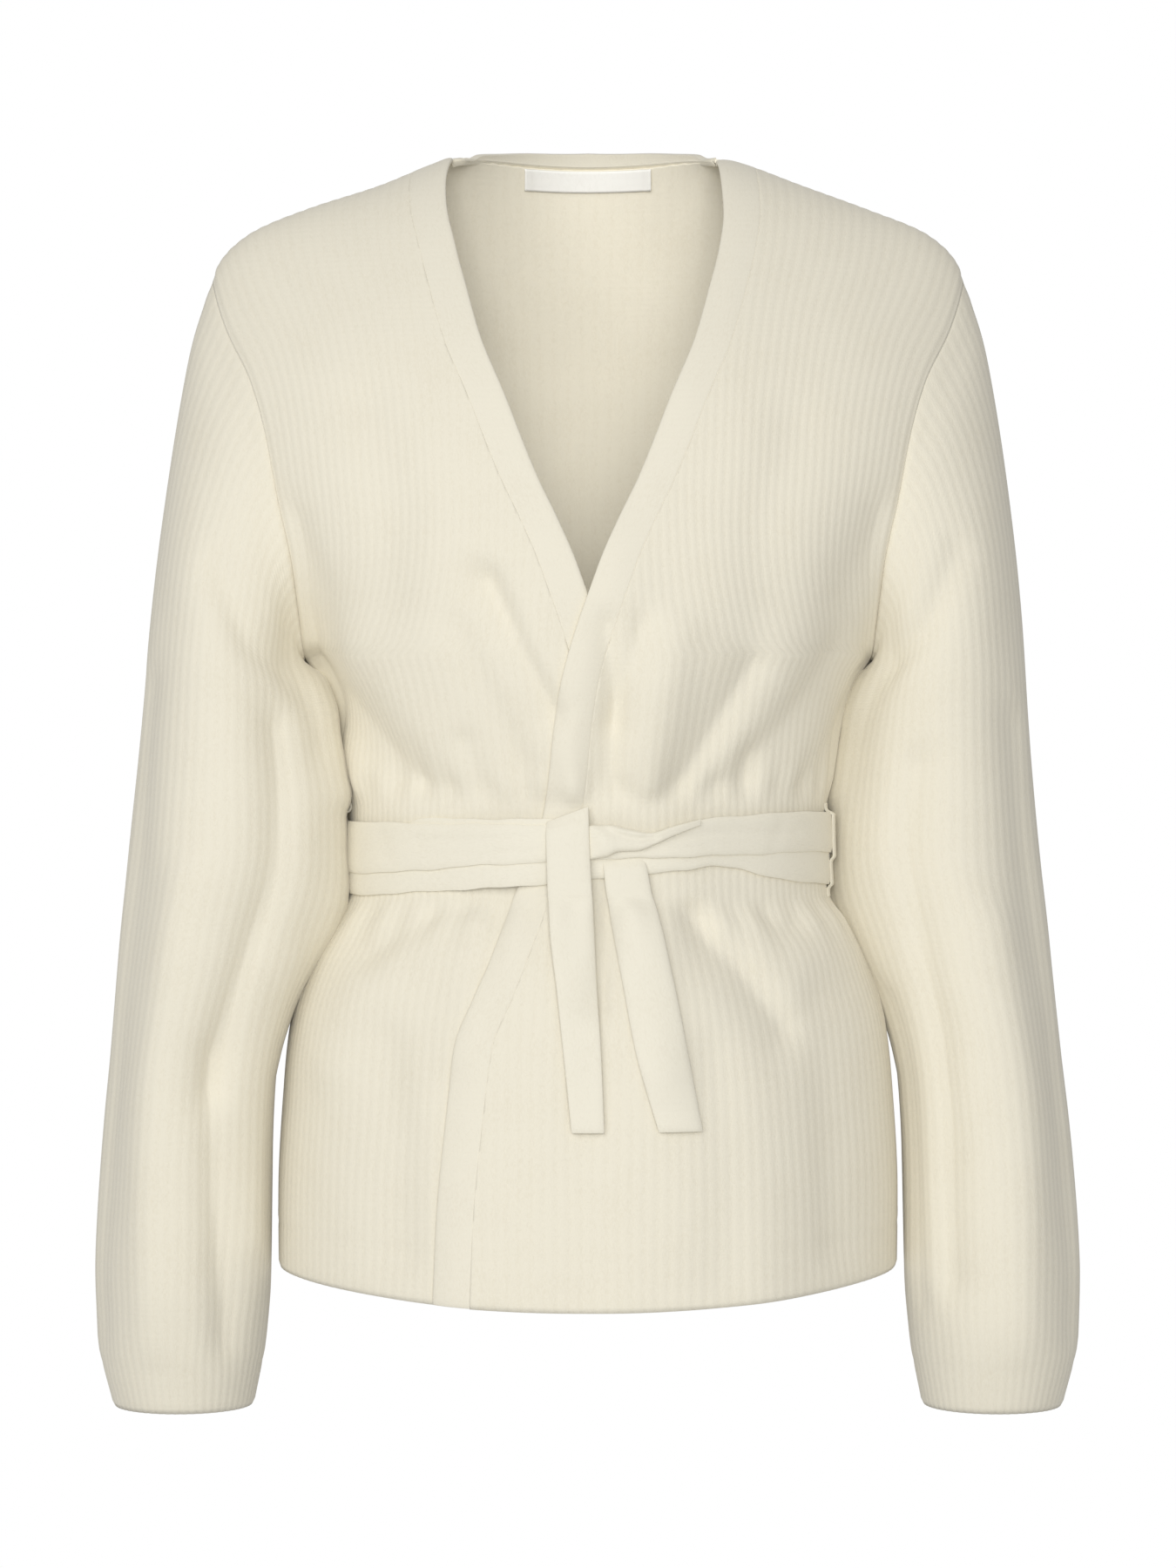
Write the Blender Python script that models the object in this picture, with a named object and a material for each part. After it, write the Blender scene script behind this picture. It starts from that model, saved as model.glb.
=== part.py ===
"""Wrap cardigan in ribbed wool, filled out as worn, with its tie belt.

Tables are in millimetres; meshes are made in metres, +Z up. The garment faces -Y and +X is the wearer's left.
The origin is the middle of the neck opening, level with the high shoulder points.
Every piece is a wall: rows of points on a form, lifted outwards for its outer side and inwards for its inner
side, with strips of faces between neighbouring rows.
"""
from collections import namedtuple

import bmesh
import bpy
import numpy as np

MM = 0.001

# Cloth
WALL = 2.4
RIB = 0.4
RIBS_FRONT = 33
RIBS_BACK = 24
RIBS_SLEEVE = 44
RIB_MARGIN = 0.35
INNER_STEP = 2
SEAM = 0.3
SLEEVE_SEAM = 0.4
LAYER_GAP = 1.2
LAYER = WALL + 2 * RIB + LAYER_GAP
LAYER_BLEND = 45.0

# Body form
ARMPIT = -262.0
TIP_HEIGHT = -66.0
TIP_X = 196.0
NECK_X = 66.0
NECK_RISE = 55.0
SHOULDER_ROUND = 170.0
SHOULDER_POWER = 2.2
SECTION_POWER = 2.2
SEAM_TURN = 0.9999
ROW_SAMPLES = 121
TURN_SAMPLES = 401
EDGE_SAMPLES = 801
NORMAL_TURN = 0.01
NORMAL_HEIGHT = 0.5
NORMAL_PLACE = 0.05

Section = namedtuple("Section", "height half_width front back")
SECTIONS = [
    Section(-595, 160.5, 119, 113),
    Section(-540, 161.0, 118, 113),
    Section(-480, 158.0, 114, 110),
    Section(-450, 154.5, 111, 106),
    Section(-420, 145.0, 105, 99),
    Section(-400, 135.0, 98, 92),
    Section(-385, 125.5, 93, 84),
    Section(-341, 124.0, 92, 82),
    Section(-325, 128.0, 97, 84),
    Section(-290, 134.5, 108, 89),
    Section(-275, 140.0, 112, 91),
    Section(-262, 148.0, 114, 93),
    Section(-246, 153.0, 115, 95),
    Section(-216, 168.0, 115, 98),
    Section(-184, 184.0, 110, 100),
    Section(-148, 197.0, 102, 100),
    Section(-110, 204.0, 93, 96),
    Section(-60, 208.0, 80, 84),
    Section(20, 210.0, 66, 62),
]

# The armhole seam seen from the front, from the armpit to the shoulder tip
Armhole = namedtuple("Armhole", "height x")
ARMHOLE = [
    Armhole(-262, 148.0),
    Armhole(-246, 149.0),
    Armhole(-216, 151.5),
    Armhole(-184, 158.0),
    Armhole(-148, 165.0),
    Armhole(-122, 173.0),
    Armhole(-96, 186.0),
    Armhole(-80, 192.0),
    Armhole(-66, 196.0),
]

# The shoulder seam and back neckline seen from the front
Shoulder = namedtuple("Shoulder", "x height")
SHOULDER = [
    Shoulder(0, 0.0),
    Shoulder(50, 0.0),
    Shoulder(68, -1.0),
    Shoulder(82, -5.4),
    Shoulder(109, -15.8),
    Shoulder(147, -28.7),
    Shoulder(173, -39.0),
    Shoulder(185, -47.5),
    Shoulder(192, -56.0),
    Shoulder(196, -66.0),
    Shoulder(210, -110.0),
]

# Height of a row at the middle of the body for its height at the side
Middle = namedtuple("Middle", "side middle")
MIDDLE = [
    Middle(-579, -590.0),
    Middle(-530, -536.0),
    Middle(-470, -472.0),
    Middle(-410, -410.0),
    Middle(-262, -262.0),
    Middle(-66, 0.0),
]

# The slanting edge of the over-front, from the hem to the high shoulder point
Edge = namedtuple("Edge", "height x")
FRONT_EDGE = [
    Edge(-595, -77.0),
    Edge(-544, -75.0),
    Edge(-501, -71.0),
    Edge(-458, -65.0),
    Edge(-436, -56.0),
    Edge(-385, -37.0),
    Edge(-341, -22.0),
    Edge(-285, -15.0),
    Edge(-220, 4.8),
    Edge(-196, 15.0),
    Edge(-175, 25.0),
    Edge(-132, 42.0),
    Edge(-103, 54.0),
    Edge(-76, 61.5),
    Edge(-53, 67.0),
    Edge(-34, 69.5),
    Edge(-14, 68.5),
    Edge(5, NECK_X),
]
BAND_WIDTH = 19.0
BAND_COLUMNS = 4

# Heights of the rows of points at the side seam or armhole
FRONT_ROWS = [-579, -535, -490, -448, -412, -384, -341, -315, -288,
              -262, -225, -185, -148, -112, -84, -70, -66]
BACK_ROWS = [-579, -530, -480, -435, -405, -384, -341, -312, -285,
             -262, -215, -165, -120, -87, -70, -66]

# Folds of the body, seen from the front for the front and from behind for the back (x grows to the wearer's
# left in both); depth is negative for a trough
Fold = namedtuple("Fold", "x0 z0 x1 z1 depth width")
FRONT_FOLDS = [
    Fold(-46, -236, -18, -290, -6.0, 12),
    Fold(-30, -268, -8, -330, 3.0, 12),
    Fold(-148, -262, -120, -293, -4.5, 13),
    Fold(-120, -293, -76, -338, -4.5, 14),
    Fold(9, -252, 13, -335, -5.5, 10),
    Fold(27, -250, 17, -290, -3.5, 9),
    Fold(40, -262, 28, -330, 3.0, 13),
    Fold(70, -290, 38, -338, -4.0, 12),
    Fold(126, -270, 58, -332, -3.0, 12),
    Fold(48, -388, 64, -410, -5.5, 11),
    Fold(64, -410, 100, -450, -5.5, 14),
    Fold(82, -385, 104, -404, -3.0, 9),
    Fold(6, -388, 10, -425, -4.0, 9),
    Fold(30, -390, 34, -470, 3.5, 16),
    Fold(-68, -388, -114, -418, -4.0, 13),
    Fold(-50, -395, -62, -460, 2.5, 14),
    Fold(-90, -400, -128, -470, 2.5, 16),
    Fold(-104, -470, -96, -560, -3.0, 20),
    Fold(120, -450, 128, -560, -3.0, 18),
]
BACK_FOLDS = [
    Fold(-118, -280, -62, -334, -4.0, 13),
    Fold(112, -276, 50, -332, -4.5, 13),
    Fold(-22, -270, -12, -334, -4.0, 12),
    Fold(24, -290, 16, -336, -3.0, 10),
    Fold(-46, -390, -70, -450, -4.5, 14),
    Fold(40, -390, 58, -470, -5.0, 15),
    Fold(-4, -392, 4, -480, -4.0, 13),
    Fold(92, -394, 116, -440, -3.5, 12),
    Fold(-96, -394, -124, -446, -3.5, 12),
    Fold(-70, -120, -84, -220, -3.5, 22),
    Fold(74, -130, 90, -226, -3.5, 22),
]

# Small gathers pressed up along both edges of the belt
BELT_MIDDLE = -362.5
BELT_HALF_ZONE = 21.5
BELT_FADE = 14.0
GATHERS = 9
GATHER_DEPTH = 1.3
GATHER_REACH = 20.0
GATHER_SHIFT = 1.3
SEAM_FADE = 0.08

# Sleeve rings from the armhole to the cuff: the outer and the inner point of each ring, its half depth and the
# depth of its middle on the wearer's left and right, where the sleeves hang behind and before the body's side
Ring = namedtuple("Ring", "place outer_x outer_z inner_x inner_z half_depth left_y right_y")
RINGS = [
    Ring(0, 196.5, -66, 148.5, -261, 55, 0, 0),
    Ring(1, 206.5, -97, 150.5, -264, 57, -1, -1),
    Ring(2, 216.5, -155, 149.0, -270, 59, 0, -3),
    Ring(3, 224.5, -225, 144.0, -281, 60, 3, -10),
    Ring(4, 230.5, -297, 137.0, -305, 61, 8, -20),
    Ring(5, 236.0, -360, 132.0, -360, 62, 12, -26),
    Ring(6, 241.5, -412, 146.0, -412, 62, 10, -24),
    Ring(7, 247.0, -467, 160.5, -467, 61, 4, -18),
    Ring(8, 252.0, -520, 164.0, -520, 60, -2, -13),
    Ring(9, 256.0, -582, 164.5, -582, 58, -6, -10),
    Ring(10, 255.0, -613, 167.0, -613, 53, -8, -8),
    Ring(11, 246.5, -651, 174.0, -651, 40, -8, -8),
]
ARMHOLE_FADE = 3.0
SLEEVE_PERIMETER = 345.0
RING_SAMPLES = 241
BESIDE_EDGE = 0.97
CUFF_HEIGHT = -651.0
CUFF_FADE = 60.0

# Folds of the sleeves: place round the sleeve (0 outer, 0.25 front, 0.5 inner, 0.75 back) and height
SleeveFold = namedtuple("SleeveFold", "turn0 z0 turn1 z1 depth width")
LEFT_SLEEVE_FOLDS = [
    SleeveFold(0.36, -190, 0.44, -330, -4.0, 14),
    SleeveFold(0.30, -330, 0.34, -560, -3.5, 13),
    SleeveFold(0.12, -330, 0.10, -600, -3.0, 12),
    SleeveFold(0.52, -360, 0.62, -400, -4.0, 9),
    SleeveFold(0.50, -300, 0.64, -340, -3.5, 9),
    SleeveFold(0.80, -300, 0.76, -560, -3.5, 14),
    SleeveFold(0.90, -420, 0.88, -600, -3.0, 12),
]
RIGHT_SLEEVE_FOLDS = [
    SleeveFold(0.38, -200, 0.43, -300, -4.0, 12),
    SleeveFold(0.33, -300, 0.30, -470, -5.0, 14),
    SleeveFold(0.30, -470, 0.33, -600, -4.0, 14),
    SleeveFold(0.08, -300, 0.09, -600, -4.0, 12),
    SleeveFold(0.20, -420, 0.21, -600, 2.5, 14),
    SleeveFold(0.52, -340, 0.64, -385, -4.0, 9),
    SleeveFold(0.82, -310, 0.78, -560, -3.5, 14),
]

# Belt: lifts from the body form, inner and outer side of each layer
BELT_WALL = 1.8
BELT_GAP = 0.4
BELT_SEAT = 0.9
BELT_TURNS = 28
LOWER_IN = RIB + BELT_SEAT
LOWER_OUT = LOWER_IN + BELT_WALL
UPPER_IN = LOWER_OUT + BELT_GAP
UPPER_OUT = UPPER_IN + BELT_WALL
OVER_BELT = UPPER_OUT + BELT_GAP
TAIL_IN = LAYER + OVER_BELT
UPPER_BAND = (-367.0, -343.0)
LOWER_BAND = (-381.5, -357.0)
BELT_LAYER_REACH = 80.0

# Free ends of the belt: height, left and right edge, and lift of the inner side from the body form
Tail = namedtuple("Tail", "height left right lift")
TAIL_RIGHT_SIDE = [
    Tail(-343.5, -20.3, -0.6, TAIL_IN),
    Tail(-366.0, -19.8, 1.0, TAIL_IN),
    Tail(-384.0, -19.3, 2.2, TAIL_IN - 0.5),
    Tail(-405.0, -18.5, 3.3, TAIL_IN - 2.0),
    Tail(-430.0, -15.5, 4.6, LAYER + 2.4),
    Tail(-462.0, -12.0, 6.6, LAYER + 2.2),
    Tail(-498.0, -8.2, 8.2, LAYER + 2.2),
]
TAIL_LEFT_SIDE = [
    Tail(-369.5, 8.0, 27.5, TAIL_IN - 0.6),
    Tail(-384.0, 9.5, 31.0, TAIL_IN - 0.8),
    Tail(-405.0, 13.2, 36.4, TAIL_IN - 2.0),
    Tail(-430.0, 16.8, 41.6, LAYER + 2.4),
    Tail(-462.0, 23.0, 48.4, LAYER + 2.2),
    Tail(-498.0, 34.0, 56.0, LAYER + 2.2),
]
TAIL_COLUMNS = 5

# The twisted wrap of the tie, from beside the left tail to the wearer's left
Knot = namedtuple("Knot", "x bottom top bulge")
KNOT = [
    Knot(3.4, -366.5, -345.0, 3.0),
    Knot(10.0, -368.0, -344.0, 6.0),
    Knot(20.0, -368.0, -345.5, 7.5),
    Knot(32.0, -366.0, -344.5, 5.0),
    Knot(44.0, -365.5, -343.5, 3.0),
    Knot(55.0, -364.5, -343.5, 2.0),
]
KNOT_ROWS = 5
KNOT_EDGE = 0.7

# Belt loops at the side seams
LOOP_WIDTH = 9.0
LOOP_WALL = 1.6
LOOP_TOP = -340.5
LOOP_BOTTOM = -384.5
LOOP_BEND = 1.5
LOOP_TURN = 0.93
WAIST_QUARTER = 190.0

# Neck band and label
NECK_BAND_HEIGHT = 8.0
NECK_BAND_END = 0.98
NECK_BAND_COLUMNS = 17
NECK_BAND_FALL = 0.75
NECK_BAND_LEAN = 0.12
LABEL_HALF_WIDTH = 32.0
LABEL_ROWS = [-76.0, -70.0, -67.0]
LABEL_WALL = 1.0
LABEL_GAP = 1.3

CREAM = (0.82, 0.76, 0.63, 1.0)
BELT_CREAM = (0.84, 0.79, 0.67, 1.0)
WHITE = (0.88, 0.87, 0.84, 1.0)


def column(table, name):
    """One named column of a table as an array."""
    return np.array([getattr(row, name) for row in table], float)


def smooth(table, along, name, at):
    """A smooth value of a table's column, with no overshoot between its rows."""
    xs = column(table, along)
    ys = column(table, name)
    step = np.diff(xs)
    rise = np.diff(ys) / step
    product = rise[:-1] * rise[1:]
    total = np.where(product > 0, rise[:-1] + rise[1:], 1.0)
    inner = np.where(product > 0, 2 * product / total, 0.0)
    slope = np.concatenate(([rise[0]], inner, [rise[-1]]))
    at = np.asarray(at, float)
    i = np.clip(np.searchsorted(xs, at) - 1, 0, len(step) - 1)
    t = np.clip((at - xs[i]) / step[i], 0, 1)
    low = ys[i] * (1 + 2 * t) + slope[i] * step[i] * t
    high = ys[i + 1] * (3 - 2 * t) + slope[i + 1] * step[i] * (t - 1)
    return low * (1 - t) ** 2 + high * t ** 2


def ease(t):
    """A soft step from 0 to 1."""
    t = np.clip(t, 0, 1)
    return t * t * (3 - 2 * t)


def fold_lift(folds, x, z):
    """Lift of a surface at x, z by a table of straight folds that fade at their ends."""
    lift = np.zeros(np.broadcast(x, z).shape)
    for fold in folds:
        run = np.array([fold.x1 - fold.x0, fold.z1 - fold.z0])
        length = np.hypot(*run)
        dx, dz = x - fold.x0, z - fold.z0
        along = (dx * run[0] + dz * run[1]) / length
        off = (dx * run[1] - dz * run[0]) / length
        beyond = along - np.clip(along, 0, length)
        lift += fold.depth * np.exp(-(off / fold.width) ** 2 - (beyond / fold.width) ** 2)
    return lift


class Body:
    """The form of the body's front or back, by turn (0 middle, 1 side) and row height at the side."""

    def __init__(self, name, facing, folds, ribs):
        self.name = name
        self.facing = facing
        self.folds = folds
        self.ribs = ribs

    def end_x(self, height):
        """Where a row ends: the side seam below the armpit, the armhole above it."""
        if height > ARMPIT:
            return float(smooth(ARMHOLE, "height", "x", height))
        return float(smooth(SECTIONS, "height", "half_width", height))

    def row_heights(self, x, height):
        """Heights along a row."""
        middle = float(smooth(MIDDLE, "side", "middle", height))
        share = np.abs(x) / self.end_x(height)
        if height > ARMPIT:
            top = smooth(SHOULDER, "x", "height", share * TIP_X)
            return middle + (height - middle) * top / TIP_HEIGHT
        return middle + (height - middle) * share ** 2

    def depth(self, x, z):
        """Depth of the form at x, z, negative in front."""
        x = np.abs(x)
        width = smooth(SECTIONS, "height", "half_width", z)
        full = smooth(SECTIONS, "height", self.name, z)
        section = np.sqrt(np.clip(1 - (x / width) ** SECTION_POWER, 0, 1))
        rise = NECK_RISE * np.clip(1 - (x / NECK_X) ** 2, 0, 1) ** 2
        drop = (smooth(SHOULDER, "x", "height", x) + rise - z) / SHOULDER_ROUND
        top = (1 - (1 - np.clip(drop, 0, 1)) ** SHOULDER_POWER) ** (1 / SHOULDER_POWER)
        return self.facing * full * section * top

    def bare(self, turn, height):
        """Points of the form without folds, evenly spaced by turn along the row."""
        angle = np.linspace(0, np.pi / 2, ROW_SAMPLES)
        x = self.end_x(height) * np.sin(angle)
        z = self.row_heights(x, height)
        y = self.depth(x, z)
        steps = np.sqrt(np.diff(x) ** 2 + np.diff(y) ** 2 + np.diff(z) ** 2)
        length = np.concatenate(([0], np.cumsum(steps)))
        at = np.interp(np.abs(turn), length / length[-1], angle)
        x = self.end_x(height) * np.sin(at)
        z = self.row_heights(x, height)
        return np.stack([x * np.sign(turn), self.depth(x, z), z], axis=-1)

    def normal(self, turn, height):
        """Outward direction of the form."""
        side = np.where(turn < 0, -1.0, 1.0)
        a = np.clip(np.abs(turn) - NORMAL_TURN, 0, 1)
        b = np.clip(np.abs(turn) + NORMAL_TURN, 0, 1)
        across = self.bare(b * side, height) - self.bare(a * side, height)
        across *= side[:, None]
        high = min(height + NORMAL_HEIGHT, TIP_HEIGHT)
        low = high - 2 * NORMAL_HEIGHT
        up = self.bare(turn, high) - self.bare(turn, low)
        out = np.cross(up, across) * self.facing
        return out / np.linalg.norm(out, axis=1)[:, None]

    def crease(self, turn, point):
        """Lift by folds and by the gathers along the belt, none under the belt itself or on the seams."""
        x, z = point[:, 0], point[:, 2]
        away = np.abs(z - BELT_MIDDLE) - BELT_HALF_ZONE
        shift = GATHER_SHIFT * np.sign(z - BELT_MIDDLE)
        gather = GATHER_DEPTH * np.cos(2 * np.pi * GATHERS * turn + shift)
        lift = fold_lift(self.folds, x, z)
        lift += gather * np.exp(-(np.clip(away, 0, None) / GATHER_REACH) ** 2)
        return lift * ease(away / BELT_FADE) * ease((1 - np.abs(turn)) / SEAM_FADE)

    def surface(self, turn, height, lift):
        """Points of the garment's surface, lifted by so many millimetres."""
        turn = np.atleast_1d(np.asarray(turn, float))
        point = self.bare(turn, height)
        total = self.crease(turn, point) + lift
        return point + self.normal(turn, height) * total[:, None]

    def turn_at(self, x, height):
        """The turn at which a row reaches x."""
        turns = np.linspace(-1, 1, TURN_SAMPLES)
        return float(np.interp(x, self.bare(turns, height)[:, 0], turns))


FRONT = Body("front", -1, FRONT_FOLDS, RIBS_FRONT)
BACK = Body("back", 1, BACK_FOLDS, RIBS_BACK)


def rib_lift(turn, ribs):
    """Raised ribs, with a crest at each whole rib."""
    return RIB * np.cos(2 * np.pi * ribs * turn)


def layer_lift(side, x, z):
    """How far the over-front stands out where the under-front lies beneath it."""
    if side < 0:
        return np.zeros_like(x)
    under_edge = -smooth(FRONT_EDGE, "height", "x", z)
    return LAYER * ease((under_edge + LAYER_BLEND - x) / LAYER_BLEND)


def edge_turn(inset, height):
    """Where a front's slanting edge, moved in by the inset, crosses a row, as a turn to the wearer's left."""
    turns = np.linspace(-1, 1, EDGE_SAMPLES)
    points = FRONT.bare(turns, height)
    past = points[:, 0] - smooth(FRONT_EDGE, "height", "x", points[:, 2]) - inset
    i = int(np.argmax(past > 0))
    share = past[i - 1] / (past[i - 1] - past[i])
    return turns[i - 1] + share * (turns[i] - turns[i - 1])


def front_points(side, turns, height, lift):
    """Points of a front for turns measured on the wearer's left, mirrored for the other side."""
    flat = FRONT.bare(turns, height)
    layer = layer_lift(side, flat[:, 0], flat[:, 2])
    return FRONT.surface(turns * side, height, lift + layer)


def seam_row(points, turns, facing, height):
    """Holds a row of a panel just off the plane of the side and shoulder seams where it meets them."""
    held = points.copy()
    at_seam = np.abs(turns) > SEAM_TURN if height <= ARMPIT else np.full(len(turns), False)
    if height == TIP_HEIGHT:
        at_seam = np.abs(points[:, 0]) >= NECK_X - 1
    held[at_seam, 1] = facing * SEAM / 2
    return held


def zip_strip(faces, first, second):
    """Faces between two rows, each a list of (key, vertex), which may have unlike numbers of points."""
    i = j = 0
    while i < len(first) - 1 or j < len(second) - 1:
        i_next = i < len(first) - 1
        j_next = j < len(second) - 1
        both = i_next and j_next
        if both and first[i][0] + first[i + 1][0] <= second[j][0] + second[j + 1][0] or not j_next:
            faces.append((first[i][1], first[i + 1][1], second[j][1]))
            i += 1
        else:
            faces.append((first[i][1], second[j + 1][1], second[j][1]))
            j += 1


def close_row(row):
    """A row that comes back to its first point."""
    return row + [(row[0][0] + 1.0, row[0][1])]


def wall(name, outer, inner, colour, closed=False):
    """A closed wall between outer and inner rows; each row is a pair of keys and points in millimetres."""
    points, faces = [], []

    def number(rows):
        numbered = []
        for keys, row in rows:
            start = len(points)
            points.extend(row)
            numbered.append([(float(key), start + i) for i, key in enumerate(keys)])
        return numbered

    sides = [number(outer), number(inner)]
    lines = [[close_row(row) if closed else row for row in side] for side in sides]
    for side in lines:
        for low, high in zip(side, side[1:]):
            zip_strip(faces, low, high)
    zip_strip(faces, lines[0][0], lines[1][0])
    zip_strip(faces, lines[0][-1], lines[1][-1])
    if not closed:
        for end in (0, -1):
            out_line = [(i / (len(outer) - 1), row[end][1]) for i, row in enumerate(lines[0])]
            in_line = [(i / (len(inner) - 1), row[end][1]) for i, row in enumerate(lines[1])]
            zip_strip(faces, out_line, in_line)
    return finish(name, points, faces, colour)


def finish(name, points, faces, colour):
    """Makes a named object with its own material from points and faces."""
    mesh = bpy.data.meshes.new(name)
    mesh.from_pydata([tuple(np.asarray(point) * MM) for point in points], [], faces)
    bm = bmesh.new()
    bm.from_mesh(mesh)
    bmesh.ops.recalc_face_normals(bm, faces=bm.faces)
    if bm.calc_volume(signed=True) < 0:
        bmesh.ops.reverse_faces(bm, faces=bm.faces)
    bm.to_mesh(mesh)
    bm.free()
    mesh.materials.append(material(name, colour))
    made = bpy.data.objects.new(name, mesh)
    bpy.data.collections["wrap_cardigan"].objects.link(made)
    return made


def material(name, colour):
    """A matt cloth material in one colour."""
    made = bpy.data.materials.new(name)
    made.use_nodes = True
    shader = made.node_tree.nodes["Principled BSDF"]
    shader.inputs["Base Color"].default_value = colour
    shader.inputs["Roughness"].default_value = 0.95
    shader.inputs["Metallic"].default_value = 0.0
    return made


def rib_turns(ribs, start, end, step):
    """Turns at every crest and trough, or at every so many ribs, from start to end."""
    margin = RIB_MARGIN / ribs
    low = int(np.ceil((start + margin) * ribs / step))
    high = int(np.floor((end - margin) * ribs / step))
    return np.array([start] + [i * step / ribs for i in range(low, high + 1)] + [end])


def make_front(name, side):
    """A ribbed front, cut along its band, from the hem to the shoulder seam."""
    outer, inner = [], []
    for height in FRONT_ROWS:
        start = edge_turn(BAND_WIDTH, height)
        fine = rib_turns(RIBS_FRONT, start, 1.0, 0.5)
        coarse = rib_turns(RIBS_FRONT, start, 1.0, INNER_STEP)
        out = front_points(side, fine, height, rib_lift(fine, RIBS_FRONT))
        back = front_points(side, coarse, height, -WALL)
        outer.append((fine, seam_row(out, fine, -1, height)))
        inner.append((coarse, seam_row(back, coarse, -1, height)))
    return wall(name, outer, inner, CREAM)


def make_band(name, side):
    """The smooth band along a front's edge, with its seam beside the ribbed cloth."""
    outer, inner = [], []
    for height in FRONT_ROWS:
        start = edge_turn(0.0, height)
        end = edge_turn(BAND_WIDTH - SEAM, height)
        turns = np.linspace(start, end, BAND_COLUMNS)
        keys = np.linspace(0, 1, BAND_COLUMNS)
        outer.append((keys, seam_row(front_points(side, turns, height, 0.0), turns, -1, height)))
        inner.append((keys, seam_row(front_points(side, turns, height, -WALL), turns, -1, height)))
    return wall(name, outer, inner, CREAM)


def make_back():
    """The ribbed back, from side seam to side seam and up to the neckline."""
    outer, inner = [], []
    for height in BACK_ROWS:
        fine = rib_turns(RIBS_BACK, -1.0, 1.0, 0.5)
        coarse = rib_turns(RIBS_BACK, -1.0, 1.0, INNER_STEP)
        for turns, rows, lift in ((fine, outer, rib_lift(fine, RIBS_BACK)), (coarse, inner, -WALL)):
            rows.append((turns, seam_row(BACK.surface(turns, height, lift), turns, 1, height)))
    return wall("back", outer, inner, CREAM)


def make_neck_band():
    """The narrow band that stands on the back neckline."""
    end = BACK.turn_at(NECK_X * NECK_BAND_END, TIP_HEIGHT)
    turns = np.linspace(-end, end, NECK_BAND_COLUMNS)
    base = BACK.bare(turns, TIP_HEIGHT)
    run = np.gradient(base, axis=0)
    out = np.stack([-run[:, 1], run[:, 0], 0 * run[:, 0]], axis=1)
    out /= np.linalg.norm(out, axis=1)[:, None]
    height = NECK_BAND_HEIGHT * (1 - NECK_BAND_FALL * (turns / end) ** 4)
    base[:, 2] += RIB + SEAM
    top = base + np.stack([0 * height, -NECK_BAND_LEAN * height, height], axis=1)
    outer = [(turns, base), (turns, top)]
    inner = [(turns, base - out * WALL), (turns, top - out * WALL)]
    return wall("neck_band", outer, inner, CREAM)


def make_label():
    """The bare label on the inside of the back neck."""
    outer, inner = [], []
    near = -WALL - LABEL_GAP
    for height in LABEL_ROWS:
        end = BACK.turn_at(LABEL_HALF_WIDTH, height)
        turns = rib_turns(RIBS_BACK, -end, end, INNER_STEP)
        outer.append((turns, BACK.surface(turns, height, near)))
        inner.append((turns, BACK.surface(turns, height, near - LABEL_WALL)))
    return wall("label", outer, inner, WHITE)


def armhole_line(turn, lift):
    """The armhole edge, at turn 1, as one closed line from the tip round the front to the back."""
    front_rows = [height for height in reversed(FRONT_ROWS) if height >= ARMPIT]
    back_rows = [height for height in BACK_ROWS if height >= ARMPIT]
    front = [FRONT.surface([turn], height, lift)[0] for height in front_rows]
    back = [BACK.surface([turn], height, lift)[0] for height in back_rows]
    line = np.array(front + back[1:])
    line[[0, len(front) - 1, -1], 1] = 0.0
    return line


def away_from_panels(line):
    """Unit steps from the armhole edge into the sleeve, square to the edge within the panels' surface."""
    bottom = int(np.argmin(line[:, 2]))
    run = np.gradient(line, axis=0)
    run[[0, bottom, -1]] = (0.0, 1.0, 0.0)
    away = np.cross(run, line - armhole_line(1.0, -WALL))
    away /= np.linalg.norm(away, axis=1)[:, None]
    outward = line - armhole_line(BESIDE_EDGE, RIB)
    outward[bottom] = (0.0, 0.0, 1.0)
    flip = np.where(np.sum(away * outward, axis=1) < 0, -1.0, 1.0)
    return away * flip[:, None]


def line_turns(line):
    """The turn of each point of the armhole line: 0 at the tip, 0.5 at the armpit, even along each half."""
    bottom = int(np.argmin(line[:, 2]))
    length = np.concatenate(([0], np.cumsum(np.linalg.norm(np.diff(line, axis=0), axis=1))))
    front = 0.5 * length[:bottom] / length[bottom]
    back = 0.5 + 0.5 * (length[bottom:] - length[bottom]) / (length[-1] - length[bottom])
    return np.concatenate((front, back))


def along_line(line, corners, turns):
    """Points along the armhole line at some turns, where corners are the turns of the line's own points."""
    return np.stack([np.interp(turns, corners, line[:, axis]) for axis in range(3)], axis=1)


def ring_points(place, turns, middle):
    """Points of a plain sleeve ring, evenly spaced; middle names the table's column for its depth."""
    size = {name: float(smooth(RINGS, "place", name, place)) for name in Ring._fields}
    outer = np.array([size["outer_x"], size[middle], size["outer_z"]])
    inner = np.array([size["inner_x"], size[middle], size["inner_z"]])
    axis = (outer - inner) / 2
    angle = np.linspace(0, 2 * np.pi, RING_SAMPLES)
    loop = np.cos(angle)[:, None] * axis + np.sin(angle)[:, None] * np.array([0, -size["half_depth"], 0])
    length = np.concatenate(([0], np.cumsum(np.linalg.norm(np.diff(loop, axis=0), axis=1))))
    at_angle = np.interp(np.mod(turns, 1.0), length / length[-1], angle)
    centre = (outer + inner) / 2
    across = np.sin(at_angle)[:, None] * np.array([0, -size["half_depth"], 0])
    return centre + np.cos(at_angle)[:, None] * axis + across


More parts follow.
